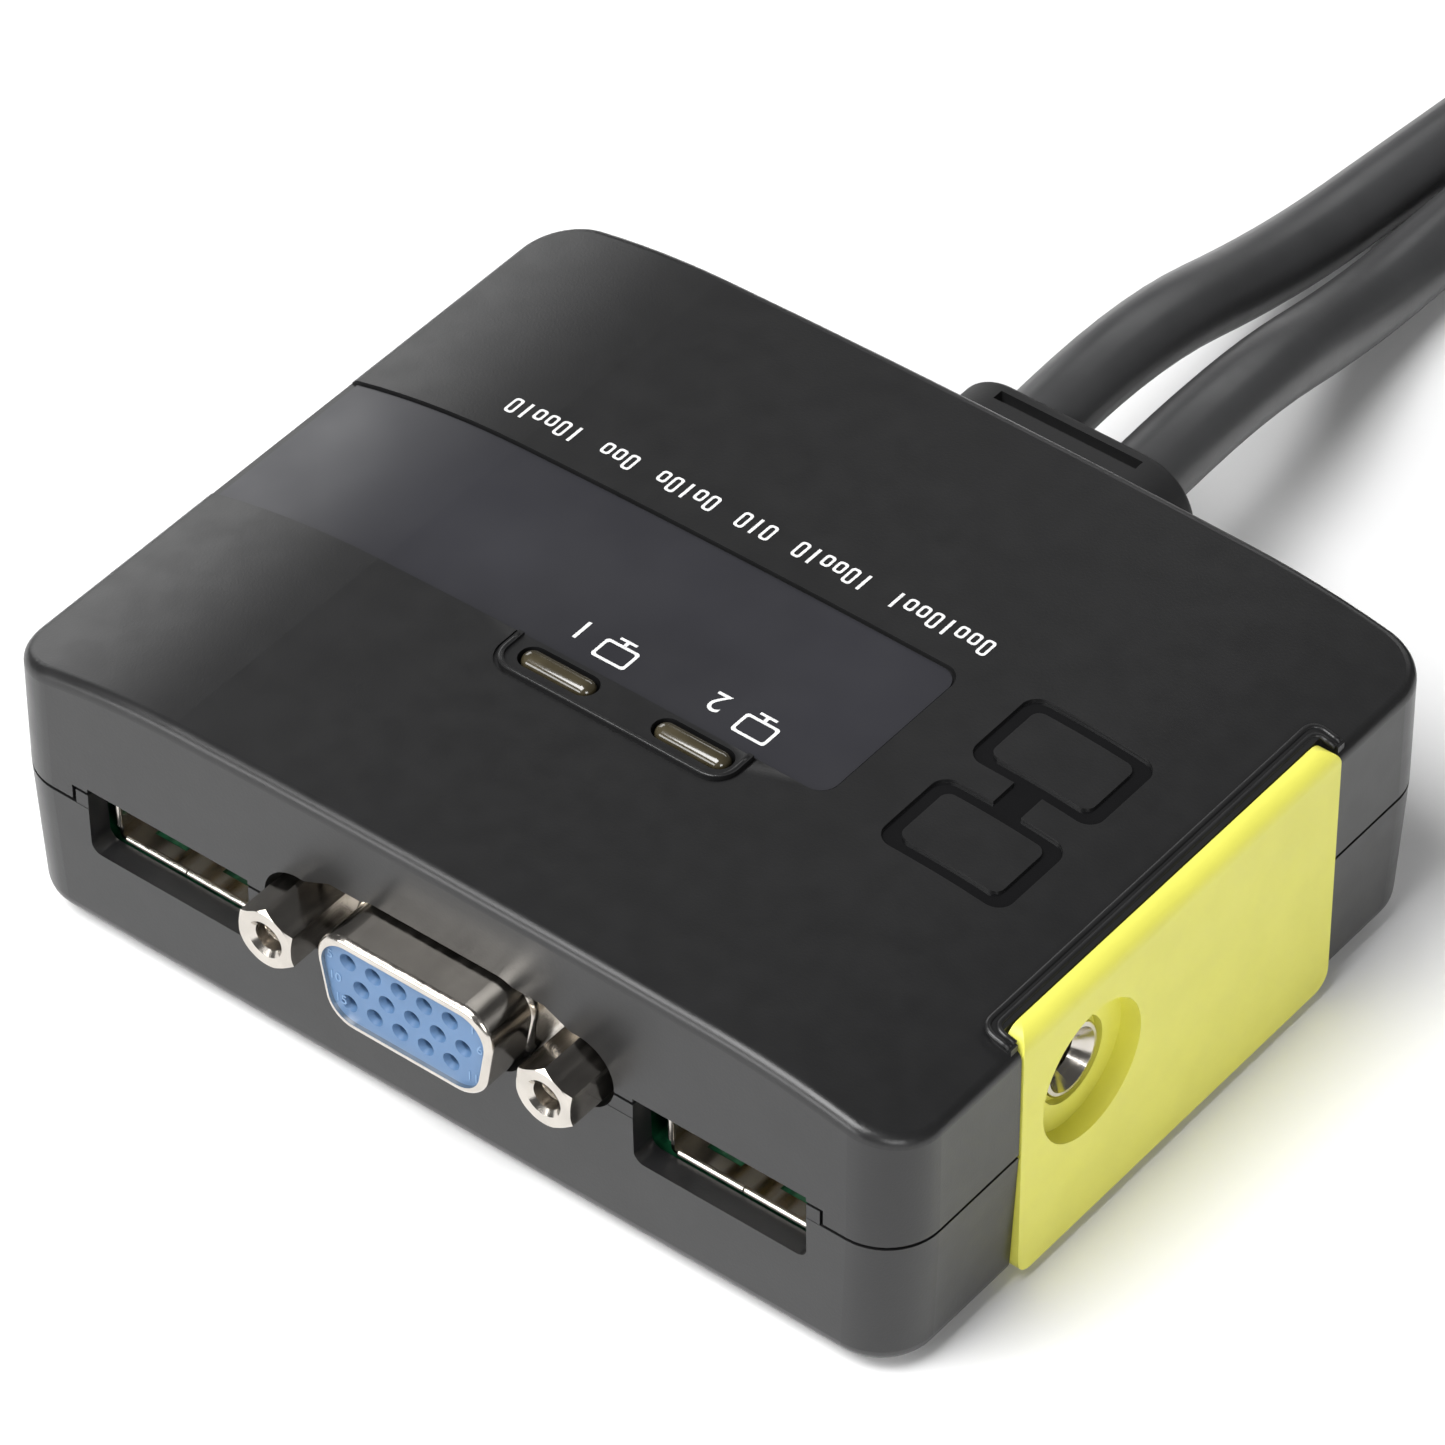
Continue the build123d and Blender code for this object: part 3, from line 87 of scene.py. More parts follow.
JACKSCREW_X = 12.495
SOCKET_Z = 14.9
SOCKET_FACE_Y = -38.4
INSERT_SETBACK = 0.35
CONTACT_NUMBERS = (
    ("5", -6.75, 1.9),
    ("10", -6.35, 0.0),
    ("15", -5.9, -1.95),
    ("1", 6.05, 2.35),
    ("6", 6.65, 0.75),
    ("11", 5.95, -2.3),
)
CONTACT_NUMBER_SIZE = 1.15
CONTACT_NUMBER_RELIEF = 0.03
THREAD_TURNS, THREAD_STEPS, THREAD_PITCH = 6, 48, 0.55
THREAD_ROOT, THREAD_CREST = 1.2, 1.06
THREAD_START = 1.2
LENS_CENTRES = (-6.2, 5.8)
LENS_LENGTH = 6.4
LENS_WIDTH = 1.8
LENS_Y = -13.55
PIPE_FLANGE_Z = 22.2
PIPE_PROUD = 0.35
PIPE_FLANGE_GROWTH = 0.8
PIPE_FLANGE_DEPTH = 1.0

USB_X = 25.2
USB_LIP_Y = -32.3
USB_LIP_Z = 9.2
USB_LIP_RADIUS = 0.27
USB_LIP_SPAN = (0.07, 5.7)
USB_LIP_SIDE_X = 6.4
USB_LIP_SIDE_ENDS = ((0.0, 10.2), (0.12, 13.4))

CABLE_DIAMETER = 6.2
COIL_CENTRE = (31.9, 121.0)
COIL_RADII = (37.2, 31.0)
COIL_TURNS = 4
COIL_STEPS = 16
CABLE_ROUTES = (
    (
        (-3.8, 38.4, 13.5),
        (-4.6, 51.8, 13.9),
        (-6.2, 74.0, 5.6),
        (-6.4, 93.0, 3.1),
        (-5.0, 108.0, 3.1),
        (-5.3, 121.0, 3.1),
    ),
    (
        (5.8, 38.4, 13.5),
        (5.0, 52.2, 13.4),
        (1.6, 74.0, 4.8),
        (0.6, 91.0, 3.1),
        (1.5, 107.0, 3.1),
        (0.9, 121.0, 3.1),
    ),
)
TAIL_ROUTES = (
    (
        (-5.3, 121.0, 27.9),
        (-4.9, 137.0, 28.0),
        (-6.2, 161.0, 19.5),
        (-5.4, 186.0, 8.2),
        (-6.0, 200.0, 7.5),
    ),
    (
        (0.9, 121.0, 27.9),
        (2.6, 140.0, 28.8),
        (9.4, 160.0, 27.5),
        (18.6, 180.0, 15.2),
        (25.6, 195.0, 8.6),
        (28.0, 210.5, 7.5),
    ),
)
LEAD_DIAMETER = 3.0
LEAD_ROUTES = (
    (
        (-12.6, 214.0, 7.5),
        (-13.0, 205.0, 7.3),
        (-14.2, 189.0, 2.2),
        (-14.4, 177.0, 1.5),
        (-13.4, 150.0, 1.5),
        (-19.6, 143.8, 1.5),
        (-28.2, 143.8, 1.5),
        (-34.4, 150.0, 1.5),
        (-35.0, 176.5, 1.9),
        (-33.4, 189.5, 4.0),
    ),
    (
        (34.6, 224.5, 7.5),
        (35.0, 215.5, 7.3),
        (36.2, 200.0, 2.2),
        (36.0, 190.5, 1.5),
        (35.0, 176.5, 1.5),
        (45.0, 166.5, 1.5),
        (55.2, 166.5, 1.5),
        (65.2, 176.5, 1.5),
        (65.8, 191.5, 1.9),
        (64.2, 204.5, 4.0),
    ),
)


# --- small helpers --------------------------------------------------------------------------------


def crown_height(x):
    """The height of the crown above the floor at a distance from the middle."""
    knee_drop = CROWN_FALL * CROWN_KNEE**4
    flat_radius = (CROWN_KNEE**2 + knee_drop**2) / (2 * knee_drop)
    if abs(x) <= CROWN_KNEE:
        return CROWN_Z - flat_radius + math.sqrt(flat_radius**2 - x**2)
    run = CROWN_HALF - CROWN_KNEE
    fall = CROWN_FALL * CROWN_HALF**4 - knee_drop
    lean = math.asin(CROWN_KNEE / flat_radius)
    steep_radius = (run**2 + fall**2) / (2 * (fall * math.cos(lean) - run * math.sin(lean)))
    from_centre = abs(x) - CROWN_KNEE + steep_radius * math.sin(lean)
    centre_z = CROWN_Z - knee_drop - steep_radius * math.cos(lean)
    return centre_z + math.sqrt(steep_radius**2 - from_centre**2)


def drape(shape, offset):
    """Lay flat marks on the crown, moved up or down from it."""
    for vert in shape.verts:
        vert.co.z += crown_height(vert.co.x) + offset


def link(piece):
    bpy.context.scene.collection.objects.link(piece)
    return piece


def mesh_piece(name, build, material, body="switch"):
    """A new mesh piece made by a function that fills a bmesh, in millimetres."""
    shape = bmesh.new()
    build(shape)
    bmesh.ops.scale(shape, vec=(MM, MM, MM), verts=shape.verts)
    mesh = bpy.data.meshes.new(name)
    shape.to_mesh(mesh)
    shape.free()
    piece = link(bpy.data.objects.new(name, mesh))
    piece.data.materials.append(material)
    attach(piece, body)
    return piece


def nurbs_cord(name, points, diameter, material):
    """A round cable along one smooth spline."""
    curve = bpy.data.curves.new(name, "CURVE")
    curve.dimensions = "3D"
    curve.bevel_depth = diameter / 2 * MM
    curve.bevel_resolution = 6
    curve.resolution_u = 8
    curve.use_fill_caps = True
    spline = curve.splines.new("NURBS")
    spline.points.add(len(points) - 1)
    for control, point in zip(spline.points, points):
        control.co = (*(value * MM for value in point), 1.0)
    spline.order_u = 3
    spline.use_endpoint_u = True
    piece = link(bpy.data.objects.new(name, curve))
    curve.materials.append(material)
    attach(piece, "switch")
    return piece


# --- materials --------------------------------------------------------------------------------------


def new_material(name):
    material = bpy.data.materials.new(name)
    material.use_nodes = True
    nodes = material.node_tree.nodes
    links = material.node_tree.links
    return material, nodes, links, nodes["Principled BSDF"]


def object_noise(nodes, links, scale, detail=3.0, stretch=(1, 1, 1)):
    """Noise in the object's own coordinates."""
    place = nodes.new("ShaderNodeTexCoord")
    mapping = nodes.new("ShaderNodeMapping")
    mapping.inputs["Scale"].default_value = stretch
    noise = nodes.new("ShaderNodeTexNoise")
    noise.inputs["Scale"].default_value = scale
    noise.inputs["Detail"].default_value = detail
    links.new(place.outputs["Object"], mapping.inputs["Vector"])
    links.new(mapping.outputs["Vector"], noise.inputs["Vector"])
    return noise


def ramp_between(nodes, links, source, low, high, start=0.35, end=0.65):
    """Two colours or grey values mixed by a noise."""
    ramp = nodes.new("ShaderNodeValToRGB")
    ramp.color_ramp.elements[0].position = start
    ramp.color_ramp.elements[1].position = end
    ramp.color_ramp.elements[0].color = (*low, 1)
    ramp.color_ramp.elements[1].color = (*high, 1)
    links.new(source.outputs["Fac"], ramp.inputs["Fac"])
    return ramp


def grey(value):
    return (value, value, value)


def add_bump(nodes, links, shader, source, distance, strength):
    bump = nodes.new("ShaderNodeBump")
    bump.inputs["Distance"].default_value = distance * MM
    bump.inputs["Strength"].default_value = strength
    links.new(source.outputs["Fac"], bump.inputs["Height"])
    links.new(bump.outputs["Normal"], shader.inputs["Normal"])


def moulded_plastic(name, colour, roughness, grain=5200.0, depth=0.02, strength=0.35, spread=0.06):
    """Moulded plastic: a fine spark-eroded grain, faint cloudiness and patches of handling shine."""
    material, nodes, links, shader = new_material(name)
    cloud = object_noise(nodes, links, 240.0, 5.0)
    dark = tuple(channel * (1 - spread) for channel in colour)
    light = tuple(channel * (1 + spread) for channel in colour)
    tint = ramp_between(nodes, links, cloud, dark, light)
    links.new(tint.outputs["Color"], shader.inputs["Base Color"])
    wear = object_noise(nodes, links, 420.0, 6.0)
    shine = ramp_between(nodes, links, wear, grey(roughness - 0.02), grey(roughness + 0.02))
    links.new(shine.outputs["Color"], shader.inputs["Roughness"])
    add_bump(nodes, links, shader, object_noise(nodes, links, grain, 2.0), depth, strength)
    return material


def plated_metal(name, colour, roughness):
    """Nickel plate: a warm mirror with fine drawing marks and cloudy patches."""
    material, nodes, links, shader = new_material(name)
    shader.inputs["Metallic"].default_value = 1.0
    patches = object_noise(nodes, links, 420.0, 5.0)
    dull = tuple(channel * 0.82 for channel in colour)
    tint = ramp_between(nodes, links, patches, dull, colour, 0.3, 0.7)
    links.new(tint.outputs["Color"], shader.inputs["Base Color"])
    marks = object_noise(nodes, links, 1500.0, 4.0, (1.0, 0.12, 1.0))
    shine = ramp_between(nodes, links, marks, grey(roughness), grey(roughness + 0.12))
    links.new(shine.outputs["Color"], shader.inputs["Roughness"])
    add_bump(nodes, links, shader, marks, 0.01, 0.25)
    return material


def smoked_resin():
    """The light pipes: smoky olive resin, darker in its depth, with a glossy skin."""
    material, nodes, links, shader = new_material("smoked_resin")
    cloud = object_noise(nodes, links, 300.0, 3.0)
    tint = ramp_between(nodes, links, cloud, (0.030, 0.024, 0.012), (0.062, 0.052, 0.030))
    links.new(tint.outputs["Color"], shader.inputs["Base Color"])
    shader.inputs["Roughness"].default_value = 0.18
    shader.inputs["Coat Weight"].default_value = 0.8
    shader.inputs["Coat Roughness"].default_value = 0.06
    return material


def label_film():
    """Blue-grey polyester film with a faint orange-peel skin."""
    material, nodes, links, shader = new_material("label_film")
    cloud = object_noise(nodes, links, 45.0, 3.0)
    tint = ramp_between(nodes, links, cloud, (0.020, 0.020, 0.024), (0.026, 0.026, 0.032))
    links.new(tint.outputs["Color"], shader.inputs["Base Color"])
    wear = object_noise(nodes, links, 120.0, 4.0)
    shine = ramp_between(nodes, links, wear, grey(0.30), grey(0.38))
    links.new(shine.outputs["Color"], shader.inputs["Roughness"])
    add_bump(nodes, links, shader, object_noise(nodes, links, 1400.0, 2.0), 0.01, 0.15)
    return material


def printed_ink(name, colour):
    """Screen-printed ink, a little thin in places."""
    material, nodes, links, shader = new_material(name)
    thin = object_noise(nodes, links, 2600.0, 3.0)
    pale = tuple(channel * 0.8 for channel in colour)
    tint = ramp_between(nodes, links, thin, pale, colour, 0.3, 0.55)
    links.new(tint.outputs["Color"], shader.inputs["Base Color"])
    shader.inputs["Roughness"].default_value = 0.55
    return material


def circuit_mask():
    """Green solder mask with faint copper tracks under it."""
    material, nodes, links, shader = new_material("circuit_mask")
    tracks = object_noise(nodes, links, 700.0, 1.0, (1.0, 0.25, 1.0))
    tint = ramp_between(nodes, links, tracks, (0.008, 0.085, 0.035), (0.02, 0.16, 0.07), 0.48, 0.52)
    links.new(tint.outputs["Color"], shader.inputs["Base Color"])
    shader.inputs["Roughness"].default_value = 0.28
    shader.inputs["Coat Weight"].default_value = 0.4
    return material


def hook_and_loop():
    """Woven tie: crossed threads in bump and colour."""
    material, nodes, links, shader = new_material("hook_and_loop")
    threads = object_noise(nodes, links, 2200.0, 2.0, (1.0, 0.4, 1.0))
    tint = ramp_between(nodes, links, threads, grey(0.010), grey(0.035))
    links.new(tint.outputs["Color"], shader.inputs["Base Color"])
    shader.inputs["Roughness"].default_value = 0.9
    shader.inputs["Sheen Weight"].default_value = 0.4
    add_bump(nodes, links, shader, threads, 0.12, 0.8)
    return material


def make_materials():
    """One material for each of the record's slots."""
    return {
        "case_plastic": moulded_plastic("case_plastic", (0.0110, 0.0110, 0.0114), 0.34),
        "panel_plastic": moulded_plastic(
            "panel_plastic", (0.755, 0.73, 0.116), 0.42, 3600.0, 0.02, 0.25, 0.02
        ),
        "rubber": moulded_plastic("rubber", (0.010, 0.010, 0.0105), 0.58, 3800.0, 0.03, 0.4),
        "cable_jacket": moulded_plastic("cable_jacket", (0.050, 0.0503, 0.0518), 0.36, 2400.0, 0.02, 0.25),
        "plug_moulding": moulded_plastic(
            "plug_moulding", (0.013, 0.013, 0.0135), 0.45, 3000.0, 0.03, 0.35
        ),
        "blue_plastic": moulded_plastic(
            "blue_plastic", (0.085, 0.165, 0.30), 0.42, 3000.0, 0.01, 0.2, 0.04
        ),
        "white_plastic": moulded_plastic("white_plastic", (0.72, 0.72, 0.69), 0.4, 3000.0, 0.01, 0.2, 0.03),
        "dark_moulding": moulded_plastic("dark_moulding", (0.018, 0.018, 0.019), 0.5),
        "led_resin": moulded_plastic("led_resin", (0.62, 0.58, 0.46), 0.3, 2000.0, 0.01, 0.1, 0.05),
        "nickel": plated_metal("nickel", (0.66, 0.62, 0.565), 0.13),
        "thumbscrew_nickel": plated_metal("thumbscrew_nickel", (0.60, 0.585, 0.55), 0.24),
        "screw_steel": plated_metal("screw_steel", (0.55, 0.55, 0.54), 0.28),
        "capacitor_can": plated_metal("capacitor_can", (0.66, 0.66, 0.67), 0.25),
        "contact_metal": plated_metal("contact_metal", (0.80, 0.60, 0.26), 0.2),
        "smoked_lens": smoked_resin(),
        "label_film": label_film(),
        "circuit_board": circuit_mask(),
        "tie_fabric": hook_and_loop(),
    }


def make_finish_materials():
    """The printed inks and the polished floor of the emblem."""
    return {
        "white_ink": printed_ink("white_ink", (0.78, 0.78, 0.78)),
        "blue_relief": moulded_plastic("blue_relief", (0.16, 0.27, 0.44), 0.35, 3000.0, 0.01, 0.2, 0.04),
        "gloss_black": moulded_plastic("gloss_black", (0.006, 0.006, 0.0065), 0.12, 900.0, 0.004, 0.05),
    }


def paint_cad_nodes(frame, materials):
    """Every carried-over CAD node takes the material of its slot."""
    for row in frame["record"]["subparts"]:
        node = frame["nodes"][row["node"]]
        node.data.materials.clear()
        node.data.materials.append(materials[row["material_slot"]])


# --- cords ----------------------------------------------------------------------------------------------


def coil_rise(share):
    """How far one turn has climbed: level at first, then up before it meets the turn below."""
    late = min(max((share - 0.55) / 0.3, 0.0), 1.0)
    return late * late * (3 - 2 * late)


def coil_points(radius):
    """The control points of the stacked turns, clockwise from the side nearest the case's cables."""
    reach = radius / math.cos(math.pi / COIL_STEPS)
    points = []
    for step in range(1, COIL_TURNS * COIL_STEPS):
        angle = math.pi - 2 * math.pi * step / COIL_STEPS
        turn, place = divmod(step, COIL_STEPS)
        height = CABLE_DIAMETER * (0.5 + turn + coil_rise(place / COIL_STEPS))
        points.append((
            COIL_CENTRE[0] + reach * math.cos(angle),
            COIL_CENTRE[1] + reach * math.sin(angle),
            height,
        ))
    return points


def make_cables(materials):
    """The two computer cables, each one spline from the grommet through its coil to its plug."""
    cables = []
    for number in (1, 2):
        route = CABLE_ROUTES[number - 1]
        tail = TAIL_ROUTES[number - 1]
        points = [*route, *coil_points(COIL_RADII[number - 1]), *tail]
        cable = nurbs_cord(f"computer_cable_{number}", points, CABLE_DIAMETER, materials["cable_jacket"])
        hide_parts(f"cable_{number}", f"cable_{number}_coil", f"cable_{number}_tail")
        cables.append(cable)
    return cables


def plug_nodes(number):
    names = ("overmould", "shell", "insulator", "pins")
    screws = (f"thumbscrew_{number}_left", f"thumbscrew_{number}_right")
    return [f"vga_plug_{number}_{name}" for name in names] + list(screws)


def declare_cords(frame, cables, leads):
    """Gather the plug nodes of each cord, with the coil ties for the first; nothing else is done with them.
    """
    for number, (cable, lead) in enumerate(zip(cables, leads), 1):
        nodes = [frame["nodes"][name] for name in plug_nodes(number)]
        if number == 1:
            nodes.append(frame["nodes"]["coil_ties"])


def make_leads(materials):
    """The thin leads from the video plugs to the USB plugs."""
    leads = []
    for number, route in enumerate(LEAD_ROUTES, 1):
        lead = nurbs_cord(f"plug_lead_{number}", route, LEAD_DIAMETER, materials["cable_jacket"])
        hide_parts(f"usb_lead_{number}")
        leads.append(lead)
    return leads


# --- prints, inlays and threads -----------------------------------------------------------------------


def rounded_loop(centre, size, radius, spacing=0.5):
    """Points around a rounded rectangle, close enough together to follow the crown."""
    half_x, half_y = size[0] / 2 - radius, size[1] / 2 - radius
    points = []
    for quarter, (side_x, side_y) in enumerate(((1, 1), (-1, 1), (-1, -1), (1, -1))):
        for step in range(7):
            angle = math.pi / 2 * (quarter + step / 6)
            points.append((
                centre[0] + side_x * half_x + radius * math.cos(angle),
                centre[1] + side_y * half_y + radius * math.sin(angle),
            ))
    full = []
    for here, after in zip(points, points[1:] + points[:1]):
        pieces = max(1, round(math.dist(here, after) / spacing))
        for part in range(pieces):
            share = part / pieces
            full.append(tuple(a + (b - a) * share for a, b in zip(here, after)))
    return full


def add_ring(shape, centre, size, radius, width):
    """A flat rounded frame, its two loops matched point for point."""
    outer = rounded_loop(centre, size, radius)
    rings = []
    for pull in (0.0, 1.0):
        inner_size = [value - 2 * width * pull for value in size]
        scale_x, scale_y = inner_size[0] / size[0], inner_size[1] / size[1]
        rings.append([
            shape.verts.new((
                centre[0] + (x - centre[0]) * scale_x,
                centre[1] + (y - centre[1]) * scale_y,
                0.0,
            ))
            for x, y in outer
        ])
    count = len(outer)
    for index in range(count):
        after = (index + 1) % count
        shape.faces.new((rings[0][index], rings[0][after], rings[1][after], rings[1][index]))


def add_plate(shape, centre, size, steps=6):
    """A flat rectangle in strips, so that it can follow the crown."""
    left = centre[0] - size[0] / 2
    rows = []
    for step in range(steps + 1):
        x = left + size[0] * step / steps
        rows.append([shape.verts.new((x, centre[1] + side * size[1] / 2, 0.0)) for side in (-1, 1)])
    for here, after in zip(rows, rows[1:]):
        shape.faces.new((here[0], after[0], after[1], here[1]))


def add_tube(shape, points, radius, sides=8):
    """A thin round line along points that keep a steady heading, closed at both ends."""
    rings = []
    for index, point in enumerate(points):
        before = Vector(points[max(index - 1, 0)])
        after = Vector(points[min(index + 1, len(points) - 1)])
        ahead = (after - before).normalized()
        aside = ahead.cross(Vector((0, 0, 1))).normalized()
        above = aside.cross(ahead)
        rings.append([
            shape.verts.new(
                Vector(point)
                + aside * radius * math.cos(2 * math.pi * step / sides)
                + above * radius * math.sin(2 * math.pi * step / sides)
            )
            for step in range(sides)
        ])
    for here, after in zip(rings, rings[1:]):
        for step in range(sides):
            follow = (step + 1) % sides
            shape.faces.new((here[step], here[follow], after[follow], after[step]))
    shape.faces.new(rings[0][::-1])
    shape.faces.new(rings[-1])


def corner_path(corners, radius, spacing=0.6):
    """Points along a plan path of straight runs whose corners are rounded off."""
    path = [Vector(corners[0])]
    for before, here, after in zip(corners, corners[1:], corners[2:]):
        here = Vector(here)
        arrive = (here - Vector(before)).normalized()
        leave = (Vector(after) - here).normalized()
        for step in range(9):
            share = step / 8
            start = here - arrive * radius * (1 - share)
            end = here + leave * radius * share
            path.append(start.lerp(end, share))
    path.append(Vector(corners[-1]))
    full = []
    for here, after in zip(path, path[1:]):
        pieces = max(1, round((after - here).length / spacing))
        full += [here.lerp(after, part / pieces) for part in range(pieces)]
    return full + [path[-1]]


def raised_line(name, corners, corner_radius, width, sink, material):
    """A rounded moulded line that follows the crown."""
    def build(shape):
        points = [
            (x, y, crown_height(x) - sink)
            for x, y in corner_path(corners, corner_radius)
        ]
        add_tube(shape, points, width / 2)
    line = mesh_piece(name, build, material)
    line.data.shade_smooth()


def make_moulded_lines(material):
    """The rounded lip around the light-pipe tab and the double bead beside the panel."""
    raised_line(
        "tab_lip",
        ((-10.75, -12.3), (-10.75, -15.55), (9.75, -15.55), (9.75, -12.3)),
        1.9,
        0.44,
        -0.05,
        material,
    )
    for name, shift, sink in (("bead_inner", 0.0, -0.36), ("bead_outer", 0.62, -0.36)):
        raised_line(
            name,
            (
                (39.6, -21.95 + shift),
                (37.25 + shift, -21.95 + shift),
                (37.25 + shift, 16.35 - shift),
                (39.6, 16.35 - shift),
            ),
            1.2 - shift / 2,
            0.5,
            sink,
            material,
        )


def make_light_pipes(material):
    """Two smooth domed pills with a long round outline and a flange under the cover."""
    for number, centre_x in enumerate(LENS_CENTRES, 1):
        top = crown_height(centre_x) + PIPE_PROUD
        half, reach = LENS_WIDTH / 2, (LENS_LENGTH - LENS_WIDTH) / 2
        flange_top = PIPE_FLANGE_Z + PIPE_FLANGE_DEPTH
        flange = half + PIPE_FLANGE_GROWTH
        levels = [(flange, PIPE_FLANGE_Z), (flange, flange_top), (half, flange_top)]
        levels += [
            (half * math.cos(angle), top - half * 0.85 * (1 - math.sin(angle)))
            for angle in (math.pi / 2 * step / 12 for step in range(12))
        ]

        def build(shape, centre_x=centre_x, levels=levels, reach=reach, top=top):
            rows = []
            for radius, z in levels:
                row = []
                for step in range(48):
                    angle = 2 * math.pi * step / 48
                    side = reach if math.cos(angle) >= 0 else -reach
                    x = centre_x + side + radius * math.cos(angle)
                    row.append(shape.verts.new((x, LENS_Y + radius * math.sin(angle), z)))
                rows.append(row)
            for low, high in zip(rows, rows[1:]):
                for step in range(48):
                    after = (step + 1) % 48
                    shape.faces.new((low[step], low[after], high[after], high[step]))
            shape.faces.new(rows[0][::-1])
            ridge = [shape.verts.new((centre_x + side * reach, LENS_Y, top)) for side in (1, -1)]
            for step in range(48):
                after = (step + 1) % 48
                ends = [ridge[0] if rows[-1][k].co.x > centre_x else ridge[1] for k in (step, after)]
                corner = (rows[-1][step], rows[-1][after], ends[1], ends[0])
                shape.faces.new(tuple(dict.fromkeys(corner)))
        pipe = mesh_piece(f"light_pipe_{number}_dome", build, material)
        pipe.data.shade_smooth()
        edges = pipe.modifiers.new("crisp_edges", "EDGE_SPLIT")
        edges.split_angle = math.radians(50)
        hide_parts(f"light_pipe_{number}")


def make_contact_numbers(material):
    """The contact numbers moulded into the socket's insert."""
    for text, x, z in CONTACT_NUMBERS:
        curve = bpy.data.curves.new(f"contact_number_{text}", "FONT")
        curve.body = text
        curve.size = CONTACT_NUMBER_SIZE * MM
        curve.extrude = CONTACT_NUMBER_RELIEF * MM
        curve.align_x = "CENTER"
        curve.align_y = "CENTER"
        number = link(bpy.data.objects.new(f"contact_number_{text}", curve))
        curve.materials.append(material)
        number.location = Vector((x, SOCKET_FACE_Y + INSERT_SETBACK - 0.02, SOCKET_Z + z)) * MM
        number.rotation_euler = (math.pi / 2, 0.0, 0.0)
        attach(number, "switch")


def make_emblem(material):
    """Glossy skins on the floors of the pictogram's recesses."""
    def build(shape):
        for shift in (-5.2, 5.2):
            add_ring(shape, (EMBLEM_PLACE[0], EMBLEM_PLACE[1] + shift), (10.9, 7.9), 1.35, 1.15)
        add_plate(shape, EMBLEM_PLACE, (2.3, 2.5))
        drape(shape, -EMBLEM_DEPTH + 0.02)
    mesh_piece("emblem_gloss", build, material)


def make_letter_line(material):
    """Letter-sized outlines and strokes in word groups: a line of print that says nothing."""
    count = sum(WORD_LENGTHS) + 1.6 * (len(WORD_LENGTHS) - 1)
    pitch = (LINE_START_X - LINE_END_X) / count

    def build(shape):
        x = LINE_START_X
        for word, length in enumerate(WORD_LENGTHS):
            for letter in range(length):
                kind = (word * 3 + letter * 5) % 4
                centre = (x - pitch * (letter + 0.5), LINE_Y)
                tall = LINE_HEIGHT if kind in (0, 3) or letter == 0 else LINE_HEIGHT * 0.72
                low = centre[1] + (LINE_HEIGHT - tall) / 2
                if kind == 3:
                    add_plate(shape, (centre[0], low), (0.26, tall), 1)
                    continue
                add_ring(shape, (centre[0], low), (pitch * 0.74, tall), 0.3, 0.22)
            x -= pitch * (length + 1.6)
        drape(shape, INK_THICKNESS)
    mesh_piece("print_line", build, material)


def make_port_marks(material):
    """A small screen sign and the port's number behind each light pipe."""
    for number, left, right in ((1, -8.7, -2.8), (2, 3.5, 9.7)):
        screen_x = right - 1.55

        def build(shape, screen_x=screen_x):
            add_ring(shape, (screen_x, -9.55), (3.0, 2.1), 0.3, 0.26)
            add_plate(shape, (screen_x, -8.3), (0.3, 0.45), 1)
            add_plate(shape, (screen_x, -8.0), (1.5, 0.24), 1)
            drape(shape, -FILM_DEPTH + INK_THICKNESS)
        mesh_piece(f"port_{number}_screen_sign", build, material)
        curve = bpy.data.curves.new(f"port_{number}_number", "FONT")
        curve.body = str(number)
        curve.size = 2.9 * MM
        curve.align_x = "CENTER"
        digit = link(bpy.data.objects.new(f"port_{number}_number", curve))
        curve.materials.append(material)
        x = left + 0.9
        digit.location = Vector((x, -8.0, crown_height(x) - FILM_DEPTH + INK_THICKNESS)) * MM
        digit.rotation_euler = (0.0, 0.0, math.pi)
        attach(digit, "switch")


def make_jackscrew_threads(material):
    """The internal thread of each jackscrew, cut as a fine helix."""
    profile = (
        (THREAD_ROOT, -0.26),
        (THREAD_CREST, -0.04),
        (THREAD_CREST, 0.04),
        (THREAD_ROOT, 0.26),
    )

    def build(shape):
        for side in (-1, 1):
            rows = []
            for index in range(THREAD_TURNS * THREAD_STEPS + 1):
                angle = 2 * math.pi * index / THREAD_STEPS
                y = SOCKET_FACE_Y + THREAD_START + THREAD_PITCH * index / THREAD_STEPS
                row = []
                for radius, shift in profile:
                    row.append(shape.verts.new((
                        side * JACKSCREW_X + radius * math.cos(angle),
                        y + shift,
                        SOCKET_Z + radius * math.sin(angle),
                    )))
                rows.append(row)
            for here, after in zip(rows, rows[1:]):
                for corner in range(3):
                    shape.faces.new((here[corner], after[corner], after[corner + 1], here[corner + 1]))
    threads = mesh_piece("jackscrew_threads", build, material)
    threads.data.shade_smooth()


